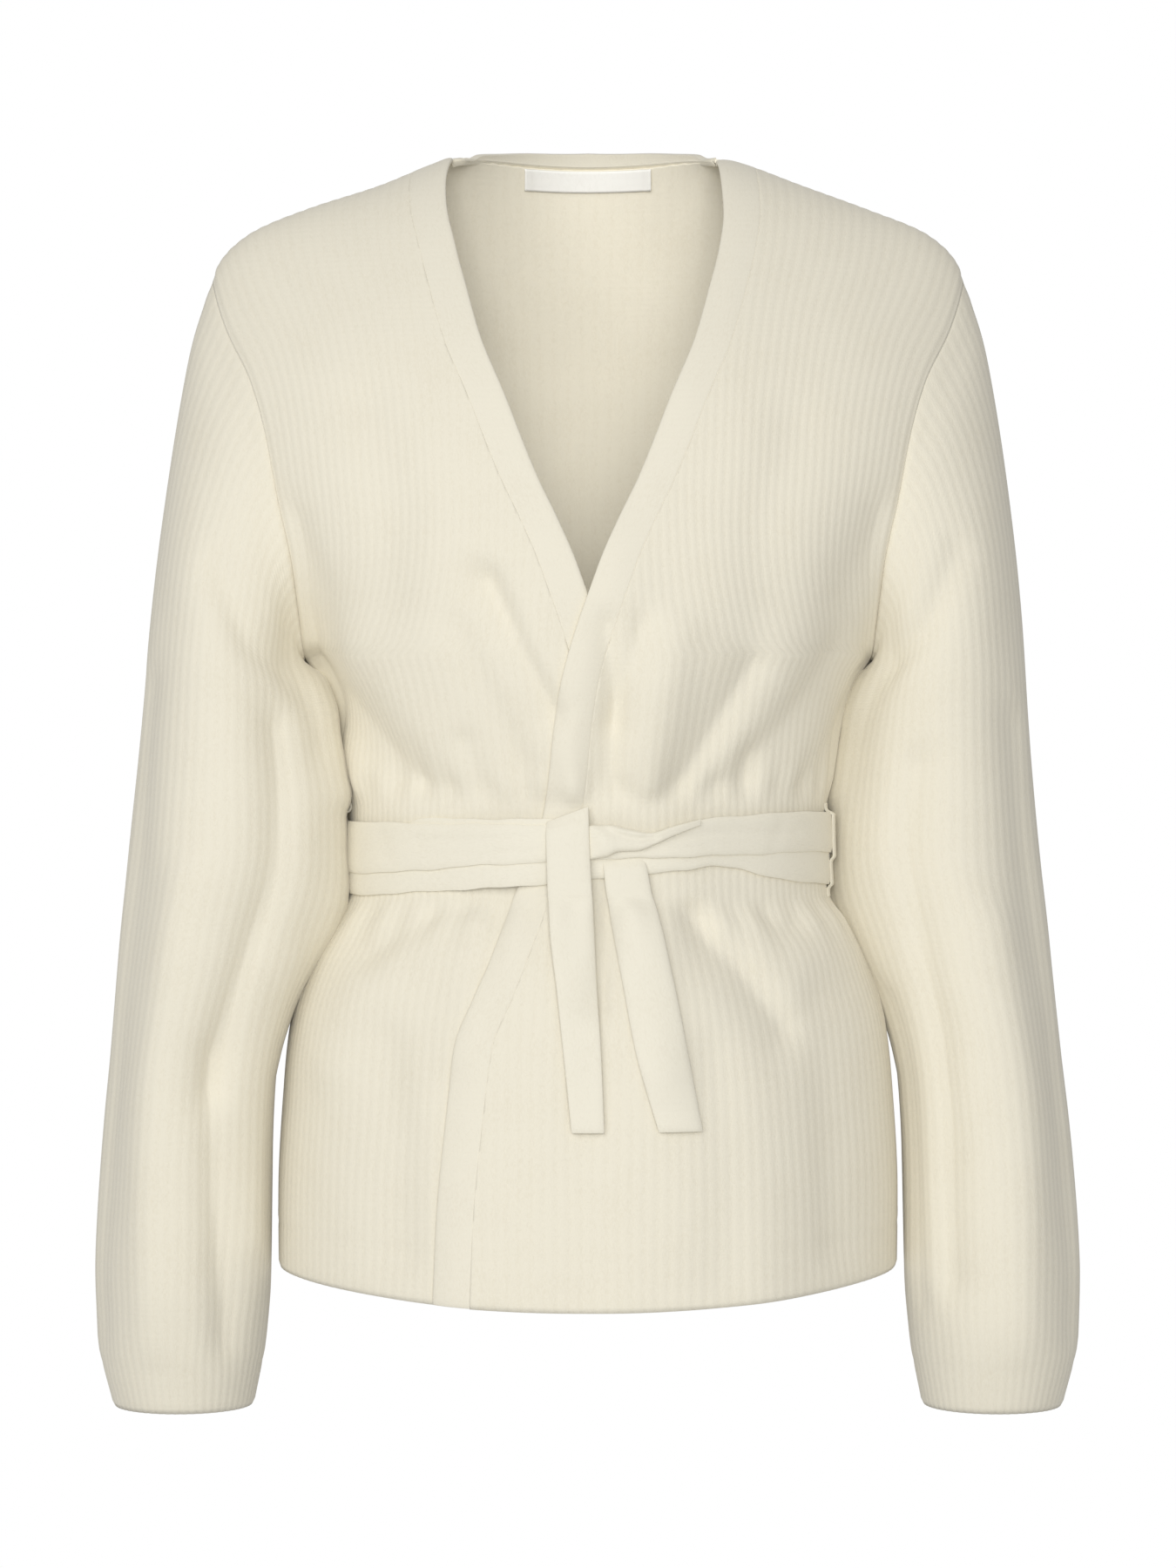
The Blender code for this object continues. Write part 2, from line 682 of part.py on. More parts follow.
class Sleeve:
    """The form of a sleeve on the wearer's left; the other one is mirrored when it is made."""

    def __init__(self, folds, middle):
        self.folds = folds
        self.middle = middle
        line = armhole_line(1.0, RIB)
        self.edge = line + away_from_panels(line) * SLEEVE_SEAM
        self.corners = line_turns(line)

    def bare(self, place, turns):
        """Points of the form: the armhole's own shape fades into plain rings."""
        turns = np.mod(turns, 1.0)
        keep = 1 - ease(place / ARMHOLE_FADE)
        shape = along_line(self.edge, self.corners, turns) - ring_points(0.0, turns, self.middle)
        return ring_points(place, turns, self.middle) + keep * shape

    def normal(self, place, turns):
        """Outward direction of the sleeve; beside the armhole that of a little further down."""
        at = np.clip(place, 0.5, RINGS[-1].place - NORMAL_PLACE)
        across = self.bare(at, turns + NORMAL_TURN) - self.bare(at, turns - NORMAL_TURN)
        down = self.bare(at + NORMAL_PLACE, turns) - self.bare(at - NORMAL_PLACE, turns)
        out = np.cross(across, down)
        return out / np.linalg.norm(out, axis=1)[:, None]

    def surface(self, place, turns, lift):
        """Points of the sleeve, lifted."""
        out = self.normal(place, turns)
        point = self.bare(place, turns)
        fade = ease((point[:, 2] - CUFF_HEIGHT) / CUFF_FADE) * ease(place / ARMHOLE_FADE)
        crease = sleeve_fold_lift(self.folds, turns, point[:, 2])
        return point + out * (crease * fade + lift)[:, None]


def sleeve_fold_lift(folds, turns, z):
    """Lift of a sleeve by its folds, with the turn measured round it in millimetres."""
    flat = [Fold(f.turn0 * SLEEVE_PERIMETER, f.z0, f.turn1 * SLEEVE_PERIMETER, f.z1, f.depth, f.width)
            for f in folds]
    return fold_lift(flat, np.mod(turns, 1.0) * SLEEVE_PERIMETER, z)


def make_sleeve(name, side, folds):
    """A ribbed sleeve, open at the armhole and the cuff."""
    sleeve = Sleeve(folds, "left_y" if side > 0 else "right_y")
    fine = np.arange(2 * RIBS_SLEEVE) / (2 * RIBS_SLEEVE)
    coarse = np.arange(RIBS_SLEEVE // INNER_STEP * 2) / (RIBS_SLEEVE // INNER_STEP * 2)
    corners = sleeve.corners[:-1]
    first = np.unique(np.concatenate((fine, corners)))
    outer = [(first, along_line(sleeve.edge, sleeve.corners, first))]
    inner = [(corners, sleeve.edge[:-1] - WALL * sleeve.normal(0.0, corners))]
    for place in range(1, len(RINGS)):
        outer.append((fine, sleeve.surface(place, fine, rib_lift(fine, RIBS_SLEEVE))))
        inner.append((coarse, sleeve.surface(place, coarse, -WALL)))
    mirror = np.array([side, 1, 1])
    outer = [(keys, row * mirror) for keys, row in outer]
    inner = [(keys, row * mirror) for keys, row in inner]
    return wall(name, outer, inner, CREAM, closed=True)


def belt_layer(x):
    """How far the belt stands out over the lapped fronts, easing down to both sides."""
    return LAYER * ease((BELT_LAYER_REACH - np.abs(x)) / LAYER_BLEND)


def belt_ring(height, lift):
    """A line round the body at one height: front from the wearer's right to left, then back again."""
    turns = np.linspace(-1, 1, BELT_TURNS + 1)
    ahead = FRONT.surface(turns, height, lift + belt_layer(FRONT.bare(turns, height)[:, 0]))
    behind = BACK.surface(turns[::-1][1:-1], height, lift)
    ahead[[0, -1], 1] = 0.0
    return np.concatenate([ahead, behind])


def make_belt(name, band, lift_in, lift_out):
    """One winding of the belt round the waist."""
    count = 2 * BELT_TURNS
    keys = np.arange(count) / count
    outer = [(keys, belt_ring(height, lift_out)) for height in band]
    inner = [(keys, belt_ring(height, lift_in)) for height in band]
    return wall(name, outer, inner, BELT_CREAM, closed=True)


def make_tail(name, table):
    """A free end of the belt, hanging down the front."""
    outer, inner = [], []
    keys = np.linspace(0, 1, TAIL_COLUMNS)
    for row in table:
        turns = np.linspace(FRONT.turn_at(row.left, row.height), FRONT.turn_at(row.right, row.height),
                            TAIL_COLUMNS)
        outer.append((keys, FRONT.surface(turns, row.height, row.lift + BELT_WALL)))
        inner.append((keys, FRONT.surface(turns, row.height, row.lift)))
    return wall(name, outer, inner, BELT_CREAM)


def make_knot():
    """The twisted wrap of the tie, which bulges from the belt."""
    outer, inner = [], []
    share = np.linspace(0, 1, KNOT_ROWS)
    for t in share:
        round_top = np.sqrt(np.clip(1 - (2 * t - 1) ** 2, 0, 1))
        out_row, in_row = [], []
        for row in KNOT:
            height = row.bottom + t * (row.top - row.bottom)
            turn = FRONT.turn_at(row.x, height)
            near = float(belt_layer(row.x)) + OVER_BELT
            lift = near + BELT_WALL * KNOT_EDGE + row.bulge * round_top
            out_row.append(FRONT.surface(turn, height, lift)[0])
            in_row.append(FRONT.surface(turn, height, near)[0])
        keys = np.linspace(0, 1, len(KNOT))
        outer.append((keys, np.array(out_row)))
        inner.append((keys, np.array(in_row)))
    return wall("belt_knot", outer, inner, BELT_CREAM)


def make_loop(name, side):
    """A belt loop: a narrow strip that arches over the belt at the side seam."""
    keys = np.linspace(0, 1, 3)
    half = LOOP_WIDTH / 2 / WAIST_QUARTER
    turns = side * np.linspace(LOOP_TURN - half, LOOP_TURN + half, 3)
    near = RIB + 2 * BELT_GAP
    heights = [LOOP_BOTTOM, LOOP_BOTTOM + LOOP_BEND, LOOP_TOP - LOOP_BEND, LOOP_TOP]
    lifts = [near, OVER_BELT, OVER_BELT, near]
    outer = [(keys, FRONT.surface(turns, height, lift + LOOP_WALL)) for height, lift in zip(heights, lifts)]
    inner = [(keys, FRONT.surface(turns, height, lift)) for height, lift in zip(heights, lifts)]
    return wall(name, outer, inner, BELT_CREAM)


def main():
    """Clears the scene and makes every piece."""
    for old in list(bpy.data.objects):
        bpy.data.objects.remove(old)
    collection = bpy.data.collections.new("wrap_cardigan")
    bpy.context.scene.collection.children.link(collection)

    make_back()
    make_front("front_left", 1)
    make_front("front_right", -1)
    make_band("band_left", 1)
    make_band("band_right", -1)
    make_neck_band()
    make_label()
    make_sleeve("sleeve_left", 1, LEFT_SLEEVE_FOLDS)
    make_sleeve("sleeve_right", -1, RIGHT_SLEEVE_FOLDS)
    make_belt("belt_lower", LOWER_BAND, LOWER_IN, LOWER_OUT)
    make_belt("belt_upper", UPPER_BAND, UPPER_IN, UPPER_OUT)
    make_knot()
    make_tail("tail_right", TAIL_RIGHT_SIDE)
    make_tail("tail_left", TAIL_LEFT_SIDE)
    make_loop("loop_left", 1)
    make_loop("loop_right", -1)


main()
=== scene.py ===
"""Wrap cardigan in brushed ribbed wool with a tied belt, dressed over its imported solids.

The tables are in millimetres and the meshes in metres, +Z up. The garment faces -Y and +X is the wearer's left.
Each piece of cloth is a fine grid that is moved onto the form of the solid that it stands for, then given its
thickness. Its creases, ribs and seams are lifts from that form.
"""
from __future__ import annotations

import logging
import math
from dataclasses import dataclass, field
from enum import Enum
from functools import cached_property
from typing import Any, Callable, Sequence

import bmesh
import bpy
import numpy as np
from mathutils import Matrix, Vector

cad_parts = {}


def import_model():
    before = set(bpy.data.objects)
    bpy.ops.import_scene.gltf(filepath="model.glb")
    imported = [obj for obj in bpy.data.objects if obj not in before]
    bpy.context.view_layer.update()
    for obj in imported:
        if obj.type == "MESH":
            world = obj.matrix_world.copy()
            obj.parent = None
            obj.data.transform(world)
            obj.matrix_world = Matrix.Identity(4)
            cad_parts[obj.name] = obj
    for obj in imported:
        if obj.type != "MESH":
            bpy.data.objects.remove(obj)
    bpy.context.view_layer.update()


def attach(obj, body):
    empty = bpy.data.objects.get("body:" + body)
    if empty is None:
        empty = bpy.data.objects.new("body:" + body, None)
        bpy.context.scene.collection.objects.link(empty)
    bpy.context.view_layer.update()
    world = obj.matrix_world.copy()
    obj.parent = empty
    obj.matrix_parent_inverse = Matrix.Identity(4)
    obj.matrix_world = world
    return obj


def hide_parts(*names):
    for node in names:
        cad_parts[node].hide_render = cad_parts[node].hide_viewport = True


LOG = logging.getLogger("wrap_cardigan")
MM = 0.001

# Cloth, as in the solids
WALL = 2.4
RIB = 0.4
OVERLAP = 0.4
LAYER = WALL + 2 * RIB + 1.2
LAYER_BLEND = 45.0
BAND_WIDTH = 19.0
ARMPIT = -262.0
HEM = -579.0
TIP = -66.0
NECK_X = 66.0
RIB_PITCH = 5.9

# Belt, pressed a little closer to the body than the solids
BELT_MIDDLE = -362.5
BELT_HALF_ZONE = 21.5
BELT_WALL = 1.5
LOWER_IN = 0.8
UPPER_IN = LOWER_IN + BELT_WALL + 0.2
OVER_BELT = UPPER_IN + BELT_WALL + 0.3


class Facing(Enum):
    """The side of the body that a panel covers."""

    FRONT = -1
    BACK = 1


class Wearer(Enum):
    """The wearer's left or right."""

    LEFT = 1
    RIGHT = -1


class Held(Enum):
    """How a sheet of cloth is carried."""

    DRAPED = "draped"
    HUNG = "hung"
    GATHERED = "gathered"
    STRETCHED = "stretched"


@dataclass(frozen=True)
class Profile:
    """A smooth value read from knots, with no overshoot between them."""

    knots: tuple[tuple[float, float], ...]

    @cached_property
    def _parts(self) -> tuple[np.ndarray, np.ndarray, np.ndarray, np.ndarray]:
        """Places, values, steps and slopes of the knots."""
        xs, ys = (np.array(part, float) for part in zip(*self.knots))
        step = np.diff(xs)
        rise = np.diff(ys) / step
        product = rise[:-1] * rise[1:]
        total = np.where(product > 0, rise[:-1] + rise[1:], 1.0)
        inner = np.where(product > 0, 2 * product / total, 0.0)
        return xs, ys, step, np.concatenate(([rise[0]], inner, [rise[-1]]))

    def at(self, where: Any) -> np.ndarray:
        """Reads the value at one or more places.

        Args:
            where: A place or an array of places.

        Returns:
            The values there, held at the end knots.
        """
        xs, ys, step, slope = self._parts
        where = np.asarray(where, float)
        i = np.clip(np.searchsorted(xs, where) - 1, 0, len(step) - 1)
        t = np.clip((where - xs[i]) / step[i], 0, 1)
        low = ys[i] * (1 + 2 * t) + slope[i] * step[i] * t
        high = ys[i + 1] * (3 - 2 * t) + slope[i + 1] * step[i] * (t - 1)
        return low * (1 - t) ** 2 + high * t ** 2


@dataclass(frozen=True)
class Crease:
    """A soft trough or ridge along a bent line on a piece of cloth.

    The path's points are across and height; depth is negative for a trough; lean makes one side steeper, and a
    low power makes the crease sharp.
    """

    path: tuple[tuple[float, float], ...]
    depth: float
    width: float
    lean: float = 0.0
    power: float = 2.0

    def lift(self, x: np.ndarray, z: np.ndarray) -> np.ndarray:
        """Lift of the cloth by this crease.

        Args:
            x: Places across the cloth.
            z: Heights of the same places.

        Returns:
            The lift at each place, in millimetres.
        """
        nearest = np.full(np.shape(x), 1e9)
        side = np.zeros(np.shape(x))
        for (x0, z0), (x1, z1) in zip(self.path, self.path[1:]):
            run = np.array([x1 - x0, z1 - z0])
            length = math.hypot(*run)
            dx, dz = x - x0, z - z0
            along = np.clip((dx * run[0] + dz * run[1]) / length, 0, length) / length
            gap = np.hypot(dx - along * run[0], dz - along * run[1])
            off = (dx * run[1] - dz * run[0]) / length
            side = np.where(gap < nearest, off, side)
            nearest = np.minimum(gap, nearest)
        width = self.width * (1 + self.lean * np.tanh(side / self.width))
        return self.depth * np.exp(-(np.sqrt(nearest ** 2 + 1.2) / width) ** self.power)


def ease(t: Any) -> np.ndarray:
    """A soft step from 0 to 1."""
    t = np.clip(t, 0, 1)
    return t * t * (3 - 2 * t)


def dip(distance: np.ndarray, depth: float, width: float) -> np.ndarray:
    """A small groove at distance 0, as along a seam.

    Args:
        distance: Distances from the seam, in millimetres.
        depth: How deep the groove is.
        width: Its half width.

    Returns:
        The lift, negative in the groove.
    """
    return -depth * np.exp(-(np.asarray(distance) / width) ** 2)


def rib_wave(phase: np.ndarray) -> np.ndarray:
    """The relief of rib knit, from -1 in its narrow grooves to 1 on its broad ribs."""
    return 1 - 2 * (0.5 - 0.5 * np.cos(2 * np.pi * phase)) ** 1.7


HALF_WIDTH = Profile((
    (-595, 160.5), (-540, 161), (-480, 158), (-450, 154.5), (-420, 145), (-400, 135), (-385, 125.5),
    (-341, 124), (-325, 128), (-290, 134.5), (-275, 140), (-262, 148), (-246, 153), (-216, 168),
    (-184, 184), (-148, 197), (-110, 204), (-60, 208), (20, 210)))
FRONT_DEPTH = Profile((
    (-595, 119), (-540, 118), (-480, 114), (-450, 111), (-420, 105), (-400, 98), (-385, 93),
    (-341, 92), (-325, 97), (-290, 108), (-275, 112), (-262, 114), (-246, 115), (-216, 115),
    (-184, 110), (-148, 102), (-110, 93), (-60, 80), (20, 66)))
BACK_DEPTH = Profile((
    (-595, 113), (-540, 113), (-480, 110), (-450, 106), (-420, 99), (-400, 92), (-385, 84),
    (-341, 82), (-325, 84), (-290, 89), (-275, 91), (-262, 93), (-246, 95), (-216, 98),
    (-184, 100), (-148, 100), (-110, 96), (-60, 84), (20, 62)))
ARMHOLE = Profile((
    (-262, 148), (-246, 149), (-216, 151.5), (-184, 158), (-148, 165), (-122, 173), (-96, 186),
    (-80, 192), (-66, 196)))
SHOULDER = Profile((
    (0, 0), (50, 0), (68, -1), (82, -5.4), (109, -15.8), (147, -28.7), (173, -39), (185, -47.5),
    (192, -56), (196, -66), (210, -110)))
MIDDLE = Profile(((-579, -590), (-530, -536), (-470, -472), (-410, -410), (-262, -262), (-66, 0)))
FRONT_EDGE = Profile((
    (-595, -77), (-544, -75), (-501, -71), (-458, -65), (-436, -56), (-385, -37), (-341, -22),
    (-285, -15), (-220, 4.8), (-196, 15), (-175, 25), (-132, 42), (-103, 54), (-76, 61.5),
    (-53, 67), (-34, 69.5), (-14, 68.5), (5, NECK_X)))


@dataclass(frozen=True)
class BodyForm:
    """The form of the body's front or back, by turn (0 middle, 1 side) and row height at the side."""

    facing: Facing
    section: Profile
    creases: tuple[Crease, ...]
    gathers: float = 9.0
    gather_depth: float = 1.3
    gather_reach: float = 20.0
    power: float = 2.2
    neck_rise: float = 55.0
    shoulder_round: float = 170.0

    @staticmethod
    def end_x(height: float) -> float:
        """Where a row ends: the side seam below the armpit, the armhole above it."""
        return float((ARMHOLE if height > ARMPIT else HALF_WIDTH).at(height))

    def row_heights(self, x: np.ndarray, height: float) -> np.ndarray:
        """Heights of the points x of one row."""
        middle = float(MIDDLE.at(height))
        share = np.abs(x) / self.end_x(height)
        if height > ARMPIT:
            return middle + (height - middle) * SHOULDER.at(share * 196.0) / TIP
        return middle + (height - middle) * share ** 2

    def depth(self, x: np.ndarray, z: np.ndarray) -> np.ndarray:
        """Depth of the form at x and z, negative in front."""
        x = np.abs(x)
        section = np.sqrt(np.clip(1 - (x / HALF_WIDTH.at(z)) ** self.power, 0, 1))
        rise = self.neck_rise * np.clip(1 - (x / NECK_X) ** 2, 0, 1) ** 2
        drop = (SHOULDER.at(x) + rise - z) / self.shoulder_round
        top = (1 - (1 - np.clip(drop, 0, 1)) ** self.power) ** (1 / self.power)
        return self.facing.value * self.section.at(z) * section * top

    def bare(self, turn: np.ndarray, height: float) -> np.ndarray:
        """Points of one row of the plain form.

        Args:
            turn: Places along the row, from -1 to 1, even along the cloth.
            height: The row's height at the side.

        Returns:
            One point a turn, in millimetres.
        """
        angle = np.linspace(0, np.pi / 2, 121)
        x = self.end_x(height) * np.sin(angle)
        z = self.row_heights(x, height)
        y = self.depth(x, z)
        length = np.concatenate(([0], np.cumsum(np.sqrt(np.diff(x) ** 2 + np.diff(y) ** 2 + np.diff(z) ** 2))))
        x = self.end_x(height) * np.sin(np.interp(np.abs(turn), length / length[-1], angle))
        z = self.row_heights(x, height)
        return np.stack([x * np.sign(turn), self.depth(x, z), z], axis=-1)

    def normal(self, turn: np.ndarray, height: float) -> np.ndarray:
        """Outward directions of the form at the turns of one row."""
        side = np.where(turn < 0, -1.0, 1.0)
        near = np.clip(np.abs(turn) - 0.01, 0, 1)
        far = np.clip(np.abs(turn) + 0.01, 0, 1)
        across = (self.bare(far * side, height) - self.bare(near * side, height)) * side[:, None]
        high = min(height + 0.5, TIP)
        up = self.bare(turn, high) - self.bare(turn, high - 1.0)
        out = np.cross(up, across) * self.facing.value
        return out / np.linalg.norm(out, axis=1)[:, None]

    def crease_lift(self, turn: np.ndarray, point: np.ndarray) -> np.ndarray:
        """Lift by creases and by the gathers along the belt, none under the belt or on the seams."""
        x, z = point[:, 0], point[:, 2]
        away = np.abs(z - BELT_MIDDLE) - BELT_HALF_ZONE
        uneven = 0.9 * np.sin(5.3 * turn + 1.1) + 0.5 * np.sin(13.0 * turn + 0.4 * np.sign(z - BELT_MIDDLE))
        wave = np.cos(2 * np.pi * self.gathers * turn + 1.3 * np.sign(z - BELT_MIDDLE) + uneven)
        lift = np.zeros(len(x))
        for crease in self.creases:
            lift += crease.lift(x, z)
        lift += self.gather_depth * wave * np.exp(-(np.clip(away, 0, None) / self.gather_reach) ** 2)
        lift += 0.5 * np.sin(x / 17.0 + 1.7) * np.sin(z / 31.0 + 0.6 + x / 60.0)
        return lift * ease(away / 14.0) * ease((1 - np.abs(turn)) / 0.08)

    def surface(self, turn: np.ndarray, height: float, lift: Any) -> np.ndarray:
        """Points of the garment's surface, lifted by so many millimetres from the creased form."""
        turn = np.atleast_1d(np.asarray(turn, float))
        point = self.bare(turn, height)
        total = self.crease_lift(turn, point) + lift
        return point + self.normal(turn, height) * total[:, None]

    def turn_at(self, x: float, height: float) -> float:
        """The turn at which a row reaches x."""
        turns = np.linspace(-1, 1, 401)
        return float(np.interp(x, self.bare(turns, height)[:, 0], turns))


FRONT = BodyForm(Facing.FRONT, FRONT_DEPTH, (
    Crease(((-50, -228), (-34, -262), (-18, -293)), -7.5, 9, 0.35, 1.5),
    Crease(((-34, -262), (-16, -300), (-8, -332)), 3.2, 11),
    Crease(((-66, -252), (-46, -296), (-34, -318)), -2.6, 10, 0.2),
    Crease(((-156, -258), (-122, -292), (-93, -324), (-76, -340)), -7.5, 13, -0.35, 1.6),
    Crease(((-138, -290), (-110, -320), (-98, -342)), -4.2, 9, -0.2, 1.6),
    Crease(((-120, -262), (-90, -298), (-62, -330)), 2.6, 14),
    Crease(((9, -250), (13, -290), (11, -323), (15, -340)), -7.0, 8, 0.3, 1.4),
    Crease(((27, -250), (19, -276), (14, -298)), -4.6, 8, 0.0, 1.6),
    Crease(((44, -256), (30, -330)), 3.4, 13),
    Crease(((84, -270), (69, -294), (50, -324), (37, -340)), -6.5, 11, 0.3, 1.5),
    Crease(((132, -262), (100, -302), (64, -338)), -5.0, 12, -0.3, 1.6),
    Crease(((140, -290), (118, -324), (104, -342)), -4.0, 9, -0.2, 1.6),
    Crease(((-62, -308), (-54, -341)), -3.0, 7, 0.0, 1.6),
    Crease(((84, -318), (78, -342)), -3.4, 7, 0.0, 1.6),
    Crease(((45, -380), (54, -394), (61, -407), (76, -420), (100, -450)), -7.5, 12, 0.35, 1.6),
    Crease(((80, -382), (90, -388), (103, -400)), -4.2, 8, 0.0, 1.6),
    Crease(((6, -386), (8, -410), (5, -438)), -5.0, 8, 0.0, 1.6),
    Crease(((30, -390), (34, -470)), 4.0, 16),
    Crease(((-63, -380), (-86, -396), (-112, -414)), -5.4, 11, 0.3, 1.6),
    Crease(((-40, -384), (-50, -420)), -3.2, 9, 0.0, 1.6),
    Crease(((-50, -405), (-62, -460)), 2.8, 14),
    Crease(((-90, -396), (-112, -432), (-130, -470)), 3.2, 15),
    Crease(((-104, -462), (-98, -510), (-96, -560)), -3.8, 17, 0.3),
    Crease(((120, -440), (126, -500), (128, -560)), -3.8, 16, -0.3),
    Crease(((62, -466), (70, -520), (68, -572)), -2.6, 15),
    Crease(((0, -480), (-6, -530), (-2, -575)), -2.0, 16),
    Crease(((104, -150), (86, -200), (88, -240)), -2.6, 16),
    Crease(((-112, -140), (-98, -190), (-102, -236)), -2.8, 16),
    Crease(((150, -196), (134, -226), (126, -262)), -3.0, 12, 0.2),
    Crease(((-152, -196), (-140, -228), (-134, -262)), -3.2, 12, 0.2)))
BACK = BodyForm(Facing.BACK, BACK_DEPTH, (
    Crease(((-118, -276), (-92, -306), (-62, -338)), -6.0, 12, 0.3, 1.6),
    Crease(((112, -272), (84, -302), (50, -338)), -6.4, 12, -0.3, 1.6),
    Crease(((-22, -266), (-16, -300), (-12, -338)), -5.2, 11, 0.25, 1.7),
    Crease(((24, -284), (16, -340)), -4.4, 9, 0.0, 1.6),
    Crease(((-84, -312), (-78, -341)), -3.2, 7, 0.0, 1.6),
    Crease(((82, -314), (74, -341)), -3.2, 7, 0.0, 1.6),
    Crease(((-46, -384), (-54, -420), (-70, -456)), -6.2, 12, 0.3, 1.6),
    Crease(((40, -384), (46, -430), (60, -476)), -6.6, 13, -0.3, 1.6),
    Crease(((-4, -386), (2, -436), (4, -484)), -5.2, 12, 0.0, 1.7),
    Crease(((92, -388), (102, -416), (118, -444)), -5.0, 11, 0.0, 1.6),
    Crease(((-96, -388), (-108, -418), (-126, -450)), -4.8, 11, 0.0, 1.6),
    Crease(((-70, -120), (-76, -170), (-84, -230)), -4.0, 20),
    Crease(((74, -130), (80, -180), (90, -236)), -4.0, 20),
    Crease(((-28, -470), (-34, -550)), -3.0, 15),
    Crease(((84, -480), (88, -566)), -3.4, 16)))


@dataclass
class Weaver:
    """Turns rows of points into a piece of cloth with its thickness, finish and place in the frame."""

    body: str = "root"
    made: list[str] = field(default_factory=list)

    def grid(self, name: str, rows: np.ndarray, cloth: np.ndarray, outward: np.ndarray) -> bpy.types.Object:
        """Makes a grid and moves it onto rows of points.

        Args:
            name: The piece's name.
            rows: Points in millimetres, by row and column.
            cloth: The place of each point on the flat cloth, in rib pitches.
            outward: The cloth's outer direction at each point.

        Returns:
            The new object, one face thick, with the cloth's places as a UV map.
        """
        count = np.array([rows.shape[1] - 1, rows.shape[0] - 1])
        shape = bmesh.new()
        bmesh.ops.create_grid(shape, x_segments=int(count[0]), y_segments=int(count[1]), size=0.5)
        shape.verts.ensure_lookup_table()
        flat = np.array([vert.co.xy for vert in shape.verts])
        spot = np.rint((flat + 0.5) * count).astype(int)
        places = rows[spot[:, 1], spot[:, 0]] * MM
        for vert, place in zip(shape.verts, places):
            vert.co = place
        layer = shape.loops.layers.uv.new("cloth")
        on_cloth = cloth[spot[:, 1], spot[:, 0]]
        for face in shape.faces:
            for loop in face.loops:
                loop[layer].uv = on_cloth[loop.vert.index]
        shape.normal_update()
        away = outward[spot[:, 1], spot[:, 0]]
        facing = sum(float(np.dot(vert.normal, away[vert.index])) for vert in shape.verts)
        if facing < 0:
            bmesh.ops.reverse_faces(shape, faces=shape.faces)
        bmesh.ops.remove_doubles(shape, verts=shape.verts, dist=0.02 * MM)
        mesh = bpy.data.meshes.new(name)
        shape.to_mesh(mesh)
        shape.free()
        mesh.shade_smooth()
        piece = bpy.data.objects.new(name, mesh)
        bpy.context.scene.collection.objects.link(piece)
        return piece

    def thicken(self, piece: bpy.types.Object, thickness: float, edge: float) -> None:
        """Gives a piece its thickness inwards and rounds its rims.

        Args:
            piece: The piece, one face thick.
            thickness: The cloth's thickness in millimetres.
            edge: The rounding of its rims in millimetres, or 0 for none.
        """
        wall = piece.modifiers.new("thickness", "SOLIDIFY")
        wall.thickness = thickness * MM
        wall.offset = -1.0
        if edge:
            rim = piece.modifiers.new("soft rim", "BEVEL")
            rim.width = edge * MM
            rim.segments = 2
            rim.limit_method = "ANGLE"
            rim.angle_limit = math.radians(55)
            rim.use_clamp_overlap = True

    def place(self, piece: bpy.types.Object, slot: str, look: bpy.types.Material, *nodes: str) -> None:
        """Dresses a piece and puts it in the frame, in place of the solids it stands for."""
        piece.data.materials.append(look)
        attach(piece, self.body)
        if nodes:
            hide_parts(*nodes)
        self.made.append(piece.name)
        LOG.info("%s: %d faces before its thickness", piece.name, len(piece.data.polygons))


